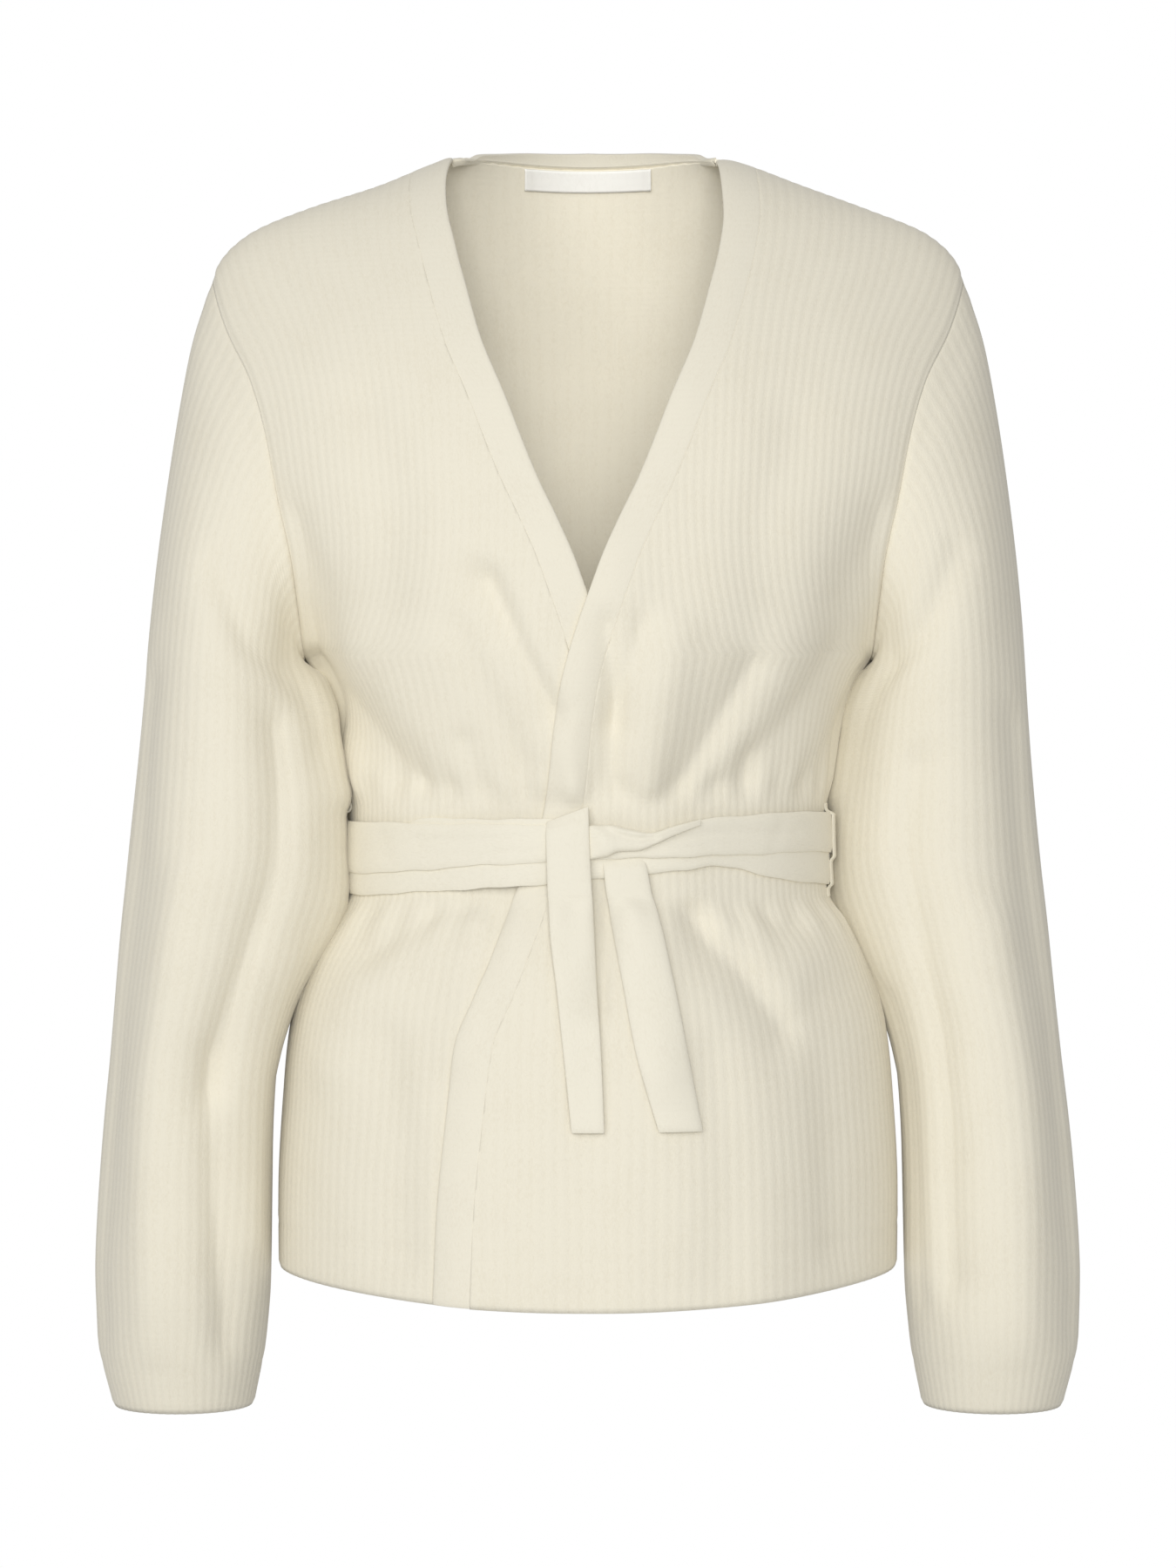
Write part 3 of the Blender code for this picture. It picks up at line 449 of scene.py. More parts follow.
@dataclass
class Panels:
    """The back and the two fronts of the body, with the bands along the fronts' edges."""

    weaver: Weaver
    knit: bpy.types.Material
    plain: bpy.types.Material
    ribs_front: int = 36
    ribs_back: int = 24
    steps_a_rib: int = 4
    row_count: int = 186
    top_rows: int = 14
    hem_seam: float = 24.0
    band_columns: int = 12
    relief: float = 0.13
    neck_height: float = 8.6
    neck_grip: float = 4.6

    @cached_property
    def heights(self) -> np.ndarray:
        """Heights of the rows, closer together as the shoulder rounds over."""
        low = np.linspace(HEM, -80.0, self.row_count - self.top_rows)
        high = -80.0 + (TIP + 80.0) * (1 - (1 - np.arange(1, self.top_rows + 1) / self.top_rows) ** 1.6)
        return np.concatenate((low, high))

    @staticmethod
    def wander(turn: np.ndarray, height: float) -> np.ndarray:
        """Moves the ribs a little to and fro, none at the side seams."""
        sway = 0.0022 * np.sin(height / 37.0 + 9 * turn) + 0.0012 * np.sin(height / 13.0 + 23 * turn)
        return turn + sway * ease((1 - np.abs(turn)) / 0.05)

    def seams(self, form: BodyForm, turn: np.ndarray, point: np.ndarray, height: float) -> np.ndarray:
        """Lift by the grooves of the side, armhole and shoulder seams and of the hem.

        Args:
            form: The front or the back; not used.
            turn: Places along the row.
            point: The form's points there.
            height: The row's height at the side.

        Returns:
            The lift at each point.
        """
        to_side = (1 - np.abs(turn)) * 190.0
        lift = dip(to_side, 0.2, 2.4) + dip(to_side - 6.0, -0.3, 3.0)
        over = SHOULDER.at(np.abs(point[:, 0])) - point[:, 2]
        shoulder = np.where(np.abs(point[:, 0]) > NECK_X - 6, over, 60.0)
        lift += dip(shoulder, 0.15, 2.0)
        above_hem = height - HEM
        lift += dip(above_hem - self.hem_seam, 0.25, 1.6) + dip(above_hem - self.hem_seam - 3.5, -0.15, 2.0)
        return lift + dip(above_hem, 0.9, 1.4)

    @staticmethod
    def hold(points: np.ndarray, turn: np.ndarray, facing: Facing, height: float) -> np.ndarray:
        """Takes a row a little past the side and shoulder seams, into the piece on their other side."""
        held = points.copy()
        at_seam = (np.abs(turn) > 0.9999) & (height <= ARMPIT)
        if height >= TIP - 0.001:
            at_seam = np.abs(points[:, 0]) >= NECK_X - 1
            held[at_seam, 2] -= 1.0
        held[at_seam, 1] = -facing.value * OVERLAP / 2
        return held

    @staticmethod
    def edge_turn(side: Wearer, inset: float, height: float) -> float:
        """Where a front's slanting edge, moved in by the inset, crosses a row, as a turn to the wearer's left."""
        turns = np.linspace(-1, 1, 801)
        points = FRONT.bare(turns, height)
        wider = 4.5 * (side is Wearer.RIGHT) * np.exp(-((points[:, 2] + 14.0) / 26.0) ** 2)
        past = points[:, 0] - FRONT_EDGE.at(points[:, 2]) - inset - wider
        i = int(np.argmax(past > 0))
        return float(turns[i - 1] + past[i - 1] / (past[i - 1] - past[i]) * (turns[i] - turns[i - 1]))

    @staticmethod
    def layer(side: Wearer, turn: np.ndarray, height: float) -> np.ndarray:
        """How far the over-front stands out where the under-front lies beneath it."""
        if side is Wearer.RIGHT:
            return np.zeros(len(turn))
        flat = FRONT.bare(turn, height)
        under_edge = -FRONT_EDGE.at(flat[:, 2])
        return LAYER * ease((under_edge + LAYER_BLEND - flat[:, 0]) / LAYER_BLEND)

    def front(self, side: Wearer, name: str, flat: tuple[float, float], area: float) -> None:
        """Makes a ribbed front, from its band to the side seam and the shoulder.

        Args:
            side: The wearer's left or right.
            name: The node that the piece stands for.
            flat: The width and length that it was cut to, in metres; not used.
            area: The cut's area in square metres; not used.
        """
        starts = np.array([self.edge_turn(side, BAND_WIDTH, height) for height in self.heights])
        first = math.floor(starts.min() * self.ribs_front)
        steps = np.arange(first * self.steps_a_rib, self.ribs_front * self.steps_a_rib + 1)
        phase = steps / self.steps_a_rib
        rows, outward, cloth = [], [], []
        for height, start in zip(self.heights, starts):
            turn = np.maximum(self.wander(phase / self.ribs_front, height), start)
            along = np.maximum(phase, start * self.ribs_front)
            flat_points = FRONT.bare(turn, height)
            from_band = (turn - start) * 190.0
            lift = self.relief * rib_wave(along) * ease(from_band / 3.0) + self.layer(side, turn, height)
            lift += self.seams(FRONT, turn, flat_points, height) + dip(from_band, 0.03, 1.5)
            points = FRONT.surface(turn * side.value, height, lift)
            rows.append(self.hold(points, turn, Facing.FRONT, height))
            outward.append(FRONT.normal(turn * side.value, height))
            cloth.append(np.stack([along, flat_points[:, 2] / RIB_PITCH], axis=1))
        piece = self.weaver.grid(f"{name}_cloth", np.array(rows), np.array(cloth), np.array(outward))
        self.weaver.thicken(piece, WALL, 0.0)
        self.weaver.place(piece, "wool_rib", self.knit, name)

    def band(self, side: Wearer, name: str) -> None:
        """Makes the smooth band along a front's edge, neck to hem."""
        share = np.linspace(0, 1, self.band_columns + 1)
        rows, outward, cloth = [], [], []
        for height in self.heights:
            turn = np.linspace(self.edge_turn(side, 0.0, height), self.edge_turn(side, BAND_WIDTH + OVERLAP, height),
                               len(share))
            above_hem = height - HEM
            across = share * BAND_WIDTH
            lift = self.layer(side, turn, height) + dip(above_hem, 0.9, 1.4)
            lift += dip(across, 0.8, 1.3) + dip(BAND_WIDTH - across, 0.08, 1.6)
            if side is Wearer.LEFT:
                lift += dip(across, 1.5, 7.0)
            points = FRONT.surface(turn * side.value, height, lift)
            rows.append(self.hold(points, turn, Facing.FRONT, height))
            outward.append(FRONT.normal(turn * side.value, height))
            cloth.append(np.stack([across / RIB_PITCH, points[:, 2] / RIB_PITCH], axis=1))
        piece = self.weaver.grid(f"{name}_cloth", np.array(rows), np.array(cloth), np.array(outward))
        self.weaver.thicken(piece, WALL, 0.7)
        self.weaver.place(piece, "wool_plain", self.plain, name)

    def back(self) -> None:
        """Makes the ribbed back, from side seam to side seam and up to the neckline."""
        steps = np.arange(-self.ribs_back * self.steps_a_rib, self.ribs_back * self.steps_a_rib + 1)
        phase = steps / self.steps_a_rib
        rows, outward, cloth = [], [], []
        for height in self.heights:
            turn = self.wander(phase / self.ribs_back, height)
            flat_points = BACK.bare(turn, height)
            lift = self.relief * rib_wave(phase) + self.seams(BACK, turn, flat_points, height)
            rows.append(self.hold(BACK.surface(turn, height, lift), turn, Facing.BACK, height))
            outward.append(BACK.normal(turn, height))
            cloth.append(np.stack([phase, flat_points[:, 2] / RIB_PITCH], axis=1))
        piece = self.weaver.grid("back_cloth", np.array(rows), np.array(cloth), np.array(outward))
        self.weaver.thicken(piece, WALL, 0.0)
        self.weaver.place(piece, "wool_rib", self.knit, "back")

    def neck_band(self) -> None:
        """Makes the narrow band that closes over the top edge of the back, from front to front."""
        turn = np.linspace(BACK.turn_at(-NECK_X - 4.5, TIP), BACK.turn_at(NECK_X + 0.5, TIP), 91)
        base = BACK.bare(turn, TIP)
        run = np.gradient(base, axis=0)
        out = np.stack([-run[:, 1], run[:, 0], 0 * run[:, 0]], axis=1)
        out /= np.linalg.norm(out, axis=1)[:, None]
        crest = by_x((0, self.neck_height), (30, 7.4), (50, 4.4), (58, 2.4), (63, -0.8), (75, -2.0))
        top = crest.at(np.abs(base[:, 0])) - base[:, 2]
        grip = 0.6 + self.neck_grip * np.abs(np.linspace(-1, 1, 91)) ** 3
        length = np.concatenate(([0], np.cumsum(np.linalg.norm(np.diff(base, axis=0), axis=1))))
        rows, cloth = [], []
        for share in np.linspace(0, 1, 13):
            rise = share * (top + grip) - grip
            bulge = 0.4 + 0.5 * math.sin(math.pi * share) + float(dip(share * 11.0, 0.7, 1.4))
            point = base + out * bulge
            point[:, 2] += rise
            point[:, 1] -= 0.12 * np.clip(rise, 0, None)
            rows.append(point)
            cloth.append(np.stack([length / RIB_PITCH, np.full(len(turn), share * 11.0 / RIB_PITCH)], axis=1))
        piece = self.weaver.grid("neck_band_cloth", np.array(rows), np.array(cloth), np.array([out] * 13))
        self.weaver.thicken(piece, WALL + 0.9, 0.9)
        self.weaver.place(piece, "wool_plain", self.plain, "neck_band")

    def make(self) -> None:
        """Makes every panel and band of the body."""
        self.back()
        self.front(Wearer.LEFT, "front_left", (0.290, 0.640), 0.120)
        self.front(Wearer.RIGHT, "front_right", (0.290, 0.640), 0.120)
        self.band(Wearer.LEFT, "band_left")
        self.band(Wearer.RIGHT, "band_right")
        self.neck_band()


@dataclass(frozen=True)
class RingTable:
    """The sizes of the sleeve's rings, by place from 0 at the armhole to 11 at the cuff."""

    outer_x: Profile
    outer_z: Profile
    inner_x: Profile
    inner_z: Profile
    half_depth: Profile
    left_y: Profile
    right_y: Profile


def by_place(*values: float) -> Profile:
    """A profile whose knots stand at 0, 1, 2 and on."""
    return Profile(tuple((float(i), float(value)) for i, value in enumerate(values)))


RINGS = RingTable(
    outer_x=by_place(196.5, 206.5, 216.5, 224.5, 230.5, 236, 241.5, 247, 252, 256, 255, 246.5),
    outer_z=by_place(-66, -97, -155, -225, -297, -360, -412, -467, -520, -582, -613, -651),
    inner_x=by_place(148.5, 150.5, 149, 144, 137, 132, 146, 160.5, 164, 164.5, 167, 174),
    inner_z=by_place(-261, -264, -270, -281, -305, -360, -412, -467, -520, -582, -613, -651),
    half_depth=by_place(55, 57, 59, 60, 61, 62, 62, 61, 60, 58, 53, 40),
    left_y=by_place(0, -1, 0, 3, 8, 12, 10, 4, -2, -6, -8, -8),
    right_y=by_place(0, -1, -3, -10, -20, -26, -24, -18, -13, -10, -8, -8))


@dataclass
class SleevePair:
    """The two long wide sleeves, set into dropped armholes and drawn in at the cuffs."""

    weaver: Weaver
    knit: bpy.types.Material
    panels: Panels
    ribs: int = 56
    steps_a_rib: int = 4
    row_count: int = 176
    last: float = 11.0
    cuff: float = -651.0
    perimeter: float = 345.0
    hem_seam: float = 24.0
    press: Profile = Profile((
        (-480, 0), (-455, 3.5), (-440, 5), (-425, 8), (-412, 11.5), (-400, 14), (-390, 14.5), (-380, 12.5), (-372, 10),
        (-360, 7.5), (-345, 7.5), (-340, 10), (-333, 11.5), (-325, 10.5), (-305, 9.5), (-290, 11), (-278, 10.5),
        (-268, 8.5), (-258, 5), (-248, 0)))

    @cached_property
    def hole_heights(self) -> np.ndarray:
        """Heights of the rows of the body's panels that end at the armhole."""
        return self.panels.heights[self.panels.heights > ARMPIT]

    def hole_line(self, turn: float, lift: float) -> np.ndarray:
        """The armhole edge as one closed line, from the tip round the front to the back."""
        heights = np.concatenate(([ARMPIT], self.hole_heights))
        front = [FRONT.surface([turn], height, lift)[0] for height in heights[::-1]]
        back = [BACK.surface([turn], height, lift)[0] for height in heights]
        line = np.array(front + back[1:])
        line[[0, len(front) - 1, -1], 1] = 0.0
        return line

    @cached_property
    def hole(self) -> tuple[np.ndarray, np.ndarray]:
        """The sleeve's own edge beside the armhole, and the turn of each of its points."""
        line = self.hole_line(1.0, self.panels.relief - 0.45)
        bottom = int(np.argmin(line[:, 2]))
        run = np.gradient(line, axis=0)
        run[[0, bottom, -1]] = (0.0, 1.0, 0.0)
        away = np.cross(run, line - self.hole_line(1.0, -WALL))
        away /= np.linalg.norm(away, axis=1)[:, None]
        outward = line - self.hole_line(0.97, 0.0)
        outward[bottom] = (0.0, 0.0, 1.0)
        away *= np.where(np.sum(away * outward, axis=1) < 0, -1.0, 1.0)[:, None]
        length = np.concatenate(([0], np.cumsum(np.linalg.norm(np.diff(line, axis=0), axis=1))))
        front = 0.5 * length[:bottom] / length[bottom]
        back = 0.5 + 0.5 * (length[bottom:] - length[bottom]) / (length[-1] - length[bottom])
        return line - away * OVERLAP, np.concatenate((front, back))

    @staticmethod
    def ring(side: Wearer, place: float, turn: np.ndarray) -> np.ndarray:
        """Points of a plain ring at a place down the sleeve, even along the ring."""
        middle = float((RINGS.left_y if side is Wearer.LEFT else RINGS.right_y).at(place))
        outer = np.array([float(RINGS.outer_x.at(place)), middle, float(RINGS.outer_z.at(place))])
        inner = np.array([float(RINGS.inner_x.at(place)), middle, float(RINGS.inner_z.at(place))])
        axis = (outer - inner) / 2
        front = np.array([0, -float(RINGS.half_depth.at(place)), 0])
        angle = np.linspace(0, 2 * np.pi, 241)
        loop = np.cos(angle)[:, None] * axis + np.sin(angle)[:, None] * front
        length = np.concatenate(([0], np.cumsum(np.linalg.norm(np.diff(loop, axis=0), axis=1))))
        at = np.interp(np.mod(turn, 1.0), length / length[-1], angle)
        return (outer + inner) / 2 + np.cos(at)[:, None] * axis + np.sin(at)[:, None] * front

    def bare(self, side: Wearer, place: float, turn: np.ndarray) -> np.ndarray:
        """Points of a sleeve's form, as on the left: the armhole's own shape fades into plain rings."""
        turn = np.mod(turn, 1.0)
        line, corners = self.hole
        shape = np.stack([np.interp(turn, corners, line[:, axis]) for axis in range(3)], axis=1)
        return self.ring(side, place, turn) + (1 - ease(place / 3.0)) * (shape - self.ring(side, 0.0, turn))

    def normal(self, side: Wearer, place: float, turn: np.ndarray) -> np.ndarray:
        """Outward directions of the sleeve; beside the armhole those of a little further down."""
        at = float(np.clip(place, 0.5, self.last - 0.05))
        across = self.bare(side, at, turn + 0.01) - self.bare(side, at, turn - 0.01)
        down = self.bare(side, at + 0.05, turn) - self.bare(side, at - 0.05, turn)
        out = np.cross(across, down)
        return out / np.linalg.norm(out, axis=1)[:, None]

    @cached_property
    def places(self) -> np.ndarray:
        """Places of the rows down the sleeve, evenly spaced along its outer side."""
        fine = np.linspace(0, self.last, 1101)
        line = np.stack([RINGS.outer_x.at(fine), RINGS.outer_z.at(fine)], axis=1)
        length = np.concatenate(([0], np.cumsum(np.hypot(*np.diff(line, axis=0).T))))
        return np.interp(np.linspace(0, length[-1], self.row_count), length, fine)

    def sleeve(self, side: Wearer, name: str, creases: Sequence[Crease]) -> None:
        """Makes a ribbed sleeve, open at the armhole and the cuff.

        Args:
            side: The wearer's left or right.
            name: The node that the piece stands for.
            creases: Its creases, by millimetres round the sleeve from its outer side and height.
        """
        phase = np.arange(self.ribs * self.steps_a_rib + 1) / self.steps_a_rib
        turn = phase / self.ribs
        mirror = np.array([side.value, 1, 1])
        rows, outward, cloth = [], [], []
        down = 0.0
        before = None
        for place in self.places:
            sway = 0.0016 * np.sin(place * 1.9 + 11 * turn) + 0.0009 * np.sin(place * 5.1 + 29 * turn)
            at = turn + sway * ease(place / 2.0)
            point = self.bare(side, place, at)
            point[-1] = point[0]
            if before is not None:
                down += float(np.mean(np.linalg.norm(point - before, axis=1)))
            before = point
            lift = np.zeros(len(turn))
            for crease in creases:
                for whole in (-self.perimeter, 0.0, self.perimeter):
                    lift += crease.lift(turn * self.perimeter + whole, point[:, 2])
            beside_body = np.exp(-((turn - 0.5) * self.perimeter / 26.0) ** 2)
            lift = lift * (1 - beside_body) + self.press.at(point[:, 2]) * beside_body * (1.0 - 0.15 * (side is Wearer.LEFT))
            lift += 0.5 * np.sin(12 * np.pi * turn + point[:, 2] / 40.0) * np.sin(point[:, 2] / 53.0)
            lift *= ease((point[:, 2] - self.cuff) / 60.0) * ease(place / 3.0)
            above = point[:, 2] - self.cuff
            lift += self.panels.relief * rib_wave(phase) * ease(place * 4.0)
            lift += dip(above - self.hem_seam, 0.3, 1.6) + dip(above - self.hem_seam - 4.0, -0.15, 2.2)
            lift += dip(above, 0.9, 1.4) + dip(down - 5.0, -0.4, 3.0)
            out = self.normal(side, place, at)
            out[-1] = out[0]
            lift[-1] = lift[0]
            rows.append((point + out * lift[:, None]) * mirror)
            outward.append(out * mirror)
            cloth.append(np.stack([phase, np.full(len(turn), -down / RIB_PITCH)], axis=1))
        piece = self.weaver.grid(f"{name}_cloth", np.array(rows), np.array(cloth), np.array(outward))
        self.weaver.thicken(piece, WALL, 0.0)
        self.weaver.place(piece, "wool_rib", self.knit, name)

    def make(self) -> None:
        """Makes both sleeves with their own creases."""
        round_ = self.perimeter
        self.sleeve(Wearer.LEFT, "sleeve_left", (
            Crease(((0.34 * round_, -170), (0.40 * round_, -250), (0.44 * round_, -330)), -5.6, 13, 0.3, 1.7),
            Crease(((0.30 * round_, -320), (0.33 * round_, -440), (0.34 * round_, -580)), -5.0, 12, 0.3, 1.7),
            Crease(((0.12 * round_, -300), (0.105 * round_, -460), (0.10 * round_, -610)), -3.2, 14, -0.3),
            Crease(((0.20 * round_, -400), (0.21 * round_, -610)), 2.6, 14),
            Crease(((0.22 * round_, -210), (0.30 * round_, -250), (0.38 * round_, -268)), -3.2, 10),
            Crease(((0.44 * round_, -440), (0.42 * round_, -590)), -4.0, 11),
            Crease(((0.52 * round_, -360), (0.57 * round_, -382), (0.62 * round_, -400)), -4.0, 8),
            Crease(((0.50 * round_, -300), (0.64 * round_, -340)), -3.5, 9),
            Crease(((0.80 * round_, -290), (0.78 * round_, -430), (0.76 * round_, -580)), -5.0, 13, 0.3, 1.7),
            Crease(((0.90 * round_, -400), (0.88 * round_, -610)), -4.0, 12)))
        self.sleeve(Wearer.RIGHT, "sleeve_right", (
            Crease(((0.36 * round_, -180), (0.41 * round_, -250), (0.44 * round_, -310)), -5.6, 12, 0.3, 1.7),
            Crease(((0.35 * round_, -300), (0.34 * round_, -380), (0.31 * round_, -480)), -7.5, 14, 0.3, 1.7),
            Crease(((0.31 * round_, -470), (0.32 * round_, -540), (0.35 * round_, -615)), -6.0, 13, 0.0, 1.7),
            Crease(((0.42 * round_, -420), (0.41 * round_, -560)), 2.6, 12),
            Crease(((0.08 * round_, -280), (0.10 * round_, -450), (0.09 * round_, -615)), -3.2, 14, -0.3),
            Crease(((0.20 * round_, -380), (0.21 * round_, -610)), 3.4, 14),
            Crease(((0.22 * round_, -220), (0.30 * round_, -256), (0.38 * round_, -270)), -3.4, 10),
            Crease(((0.52 * round_, -340), (0.58 * round_, -364), (0.64 * round_, -385)), -4.0, 8),
            Crease(((0.82 * round_, -300), (0.80 * round_, -440), (0.78 * round_, -590)), -5.0, 13, 0.0, 1.7),
            Crease(((0.92 * round_, -360), (0.91 * round_, -600)), -3.6, 12)))


@dataclass(frozen=True)
class TailTable:
    """The edges and the lift of a free end of the belt, by height."""

    left: Profile
    right: Profile
    lift: Profile


@dataclass
class TiedBelt:
    """The long belt, wound twice and tied in front, with its two free ends and its loops."""

    weaver: Weaver
    cloth: bpy.types.Material
    columns: int = 130
    band_rows: int = 12
    tail_columns: int = 12
    reach: float = 80.0
    loop_wall: float = 1.1

    upper_top: Profile = Profile((
        (-150, -343), (-116, -347.6), (-60, -347.2), (-20, -347), (0, -349.5), (12, -350.5), (29, -353),
        (41, -350.5), (53, -345.5), (64, -343.6), (112, -342.2), (150, -343)))
    upper_bottom: Profile = Profile((
        (-150, -372), (-112, -374), (-81, -371.5), (-56, -369), (-22, -367), (8, -365.2), (28, -364.8),
        (70, -363.6), (112, -363), (150, -367)))
    lower_top: Profile = Profile((
        (-150, -357), (-96, -350), (-84, -344.8), (-17, -344.2), (-8, -352), (60, -357), (150, -357)))
    lower_bottom: Profile = Profile((
        (-150, -383), (-116, -385.6), (-101, -384.3), (-56, -381), (-39, -380), (-10, -377), (31, -373),
        (46, -371.3), (62, -369), (72, -370.4), (85, -373.8), (98, -376.6), (114, -379.6), (150, -382)))
    pulls: tuple[Crease, ...] = (
        Crease(((-24, -353), (-48, -357), (-86, -357)), -0.8, 2.2, 0.3),
        Crease(((-26, -362), (-62, -366)), -0.6, 1.8),
        Crease(((42, -356), (66, -353), (104, -354)), -0.8, 2.2, -0.3),
        Crease(((34, -361), (60, -359.5)), -0.6, 1.6),
        Crease(((-104, -352), (-98, -368)), -0.5, 3.0),
        Crease(((96, -348), (92, -360)), -0.5, 3.0))

    def over_fronts(self, x: Any) -> np.ndarray:
        """How far the belt stands out over the lapped fronts, easing down to both sides."""
        return LAYER * ease((self.reach - np.abs(x)) / LAYER_BLEND)

    def winding(self, name: str, top: Profile, bottom: Profile, back: tuple[float, float], lift: float) -> None:
        """Makes one winding round the waist.

        Args:
            name: The node that the piece stands for.
            top: Height of its upper edge across the front.
            bottom: Height of its lower edge across the front.
            back: Heights of its lower and upper edge behind.
            lift: How far its outer side stands from the body form.
        """
        turn = np.linspace(-1, 1, self.columns + 1)
        rows, outward, cloth = [], [], []
        width = back[1] - back[0]
        for share in np.linspace(0, 1, self.band_rows + 1):
            front, out_front = [], []
            for one in turn:
                x = FRONT.bare(np.array([one]), BELT_MIDDLE)[0, 0]
                to_side = float(ease((abs(one) - 0.9) / 0.1))
                low = float(bottom.at(x)) + 0.3 * math.sin(x / 6.3 + lift) + 0.2 * math.sin(x / 2.9)
                high = float(top.at(x)) + 0.3 * math.sin(x / 7.9 + 2 * lift) + 0.2 * math.sin(x / 3.3)
                low += (back[0] - low) * to_side
                high += (back[1] - high) * to_side
                height = low + share * (high - low)
                front.append(FRONT.bare(np.array([one]), height)[0])
                out_front.append(FRONT.normal(np.array([one]), height)[0])
            front, out_front = np.array(front), np.array(out_front)
            height = back[0] + share * width
            behind = BACK.bare(turn[::-1][1:-1], height)
            out_behind = BACK.normal(turn[::-1][1:-1], height)
            points = np.concatenate([front, behind, front[:1]])
            out = np.concatenate([out_front, out_behind, out_front[:1]])
            layer = np.concatenate([self.over_fronts(front[:, 0]), np.zeros(len(behind)),
                                    self.over_fronts(front[:1, 0])])
            length = np.concatenate(([0], np.cumsum(np.linalg.norm(np.diff(points, axis=0), axis=1))))
            ripple = 0.35 * np.sin(length / 23.0 + 2.1 * share) * math.sin(math.pi * share)
            edge = float(dip(share * width, 0.9, 1.8)) + float(dip((1 - share) * width, 0.9, 1.8))
            for pull in self.pulls:
                ripple += pull.lift(points[:, 0], points[:, 2]) * (points[:, 1] < 0)
            rows.append(points + out * (layer + lift + ripple + edge)[:, None])
            outward.append(out)
            cloth.append(np.stack([np.full(len(points), share * width / RIB_PITCH), length / RIB_PITCH], axis=1))
        piece = self.weaver.grid(f"{name}_cloth", np.array(rows), np.array(cloth), np.array(outward))
        self.weaver.thicken(piece, BELT_WALL, 0.6)
        self.weaver.place(piece, "belt", self.cloth, name)

    def tail(self, name: str, table: TailTable, top: float, bottom: float, over: float,
             slant: float) -> None:
        """Makes a free end of the belt, hanging down the front.

        Args:
            name: The node that the piece stands for.
            table: Its edges and its lift, by height.
            top: Height of its upper end.
            bottom: Height of its lower end.
            over: How far its upper end turns in over the belt.
            slant: How much higher its upper end is on the wearer's left.
        """
        share = np.linspace(0, 1, self.tail_columns + 1)
        heights = np.linspace(top, bottom, 64)
        rows, outward, cloth = [], [], []
        for height in heights:
            left, right = float(table.left.at(height)), float(table.right.at(height))
            turn = np.linspace(FRONT.turn_at(left, height), FRONT.turn_at(right, height), len(share))
            from_end = height - bottom
            across = share * (right - left)
            lift = float(table.lift.at(height)) + BELT_WALL + dip(across, 0.8, 1.5)
            lift = lift + dip(right - left - across, 0.8, 1.5) + dip(from_end, 0.8, 1.2)
            lift = lift + float(dip(from_end - 10.0, 0.4, 1.2)) + float(dip(top - height, over, 4.5))
            lift = lift + 0.6 * math.sin(height / 21.0) * np.sin(2.6 * share + 0.4) * ease((top - height) / 20.0)
            points = FRONT.surface(turn, height, lift)
            points[:, 2] += (share - 0.35) * slant * math.exp(-(top - height) / 9.0)
            rows.append(points)
            outward.append(FRONT.normal(turn, height))
            cloth.append(np.stack([across / RIB_PITCH, np.full(len(share), height / RIB_PITCH)], axis=1))
        piece = self.weaver.grid(f"{name}_cloth", np.array(rows), np.array(cloth), np.array(outward))
        self.weaver.thicken(piece, BELT_WALL, 0.6)
        self.weaver.place(piece, "belt", self.cloth, name)

    def knot(self) -> None:
        """Makes the twisted wrap of the tie, which bulges from the belt."""
        bottom = by_x((0.5, -365.4), (9, -364), (14.3, -361.4), (23.8, -360.9), (32, -357.6), (40.3, -353.4), (54, -347.6))
        top = by_x((0.5, -347.4), (10, -347.2), (20, -349.6), (30, -351.4), (40.3, -348.2), (54, -344.6))
        bulge = by_x((0.5, 1.0), (8, 3.4), (16, 3.2), (28, 2.4), (40, 1.4), (54, 0.2))
        folds = (
            Crease(((5, -346.5), (14.3, -352.3), (23, -354.4), (31, -354)), -1.9, 1.9, 0.3, 1.5),
            Crease(((12, -349), (26, -352)), 0.8, 1.3),
            Crease(((8, -356), (12, -361)), 0.8, 3.5))
        across = np.linspace(0.5, 54, 72)
        rows, outward, cloth = [], [], []
        for share in np.linspace(0, 1, 34):
            row, out = [], []
            for x in across:
                height = float(bottom.at(x)) + share * float(top.at(x) - bottom.at(x))
                turn = np.array([FRONT.turn_at(x, height)])
                crest = max(0.0, 1 - abs(2 * share - 1) ** 3) ** 0.5
                lift = float(self.over_fronts(x)) + OVER_BELT + 0.7 + float(bulge.at(x)) * crest
                for fold in folds:
                    lift += float(fold.lift(np.array([x]), np.array([height]))[0])
                row.append(FRONT.surface(turn, height, lift)[0])
                out.append(FRONT.normal(turn, height)[0])
            rows.append(row)
            outward.append(out)
            cloth.append(np.stack([np.full(len(across), share * 18 / RIB_PITCH), across / RIB_PITCH], axis=1))
        piece = self.weaver.grid("belt_knot_cloth", np.array(rows), np.array(cloth), np.array(outward))
        self.weaver.thicken(piece, BELT_WALL, 0.6)
        self.weaver.place(piece, "belt", self.cloth, "belt_knot")

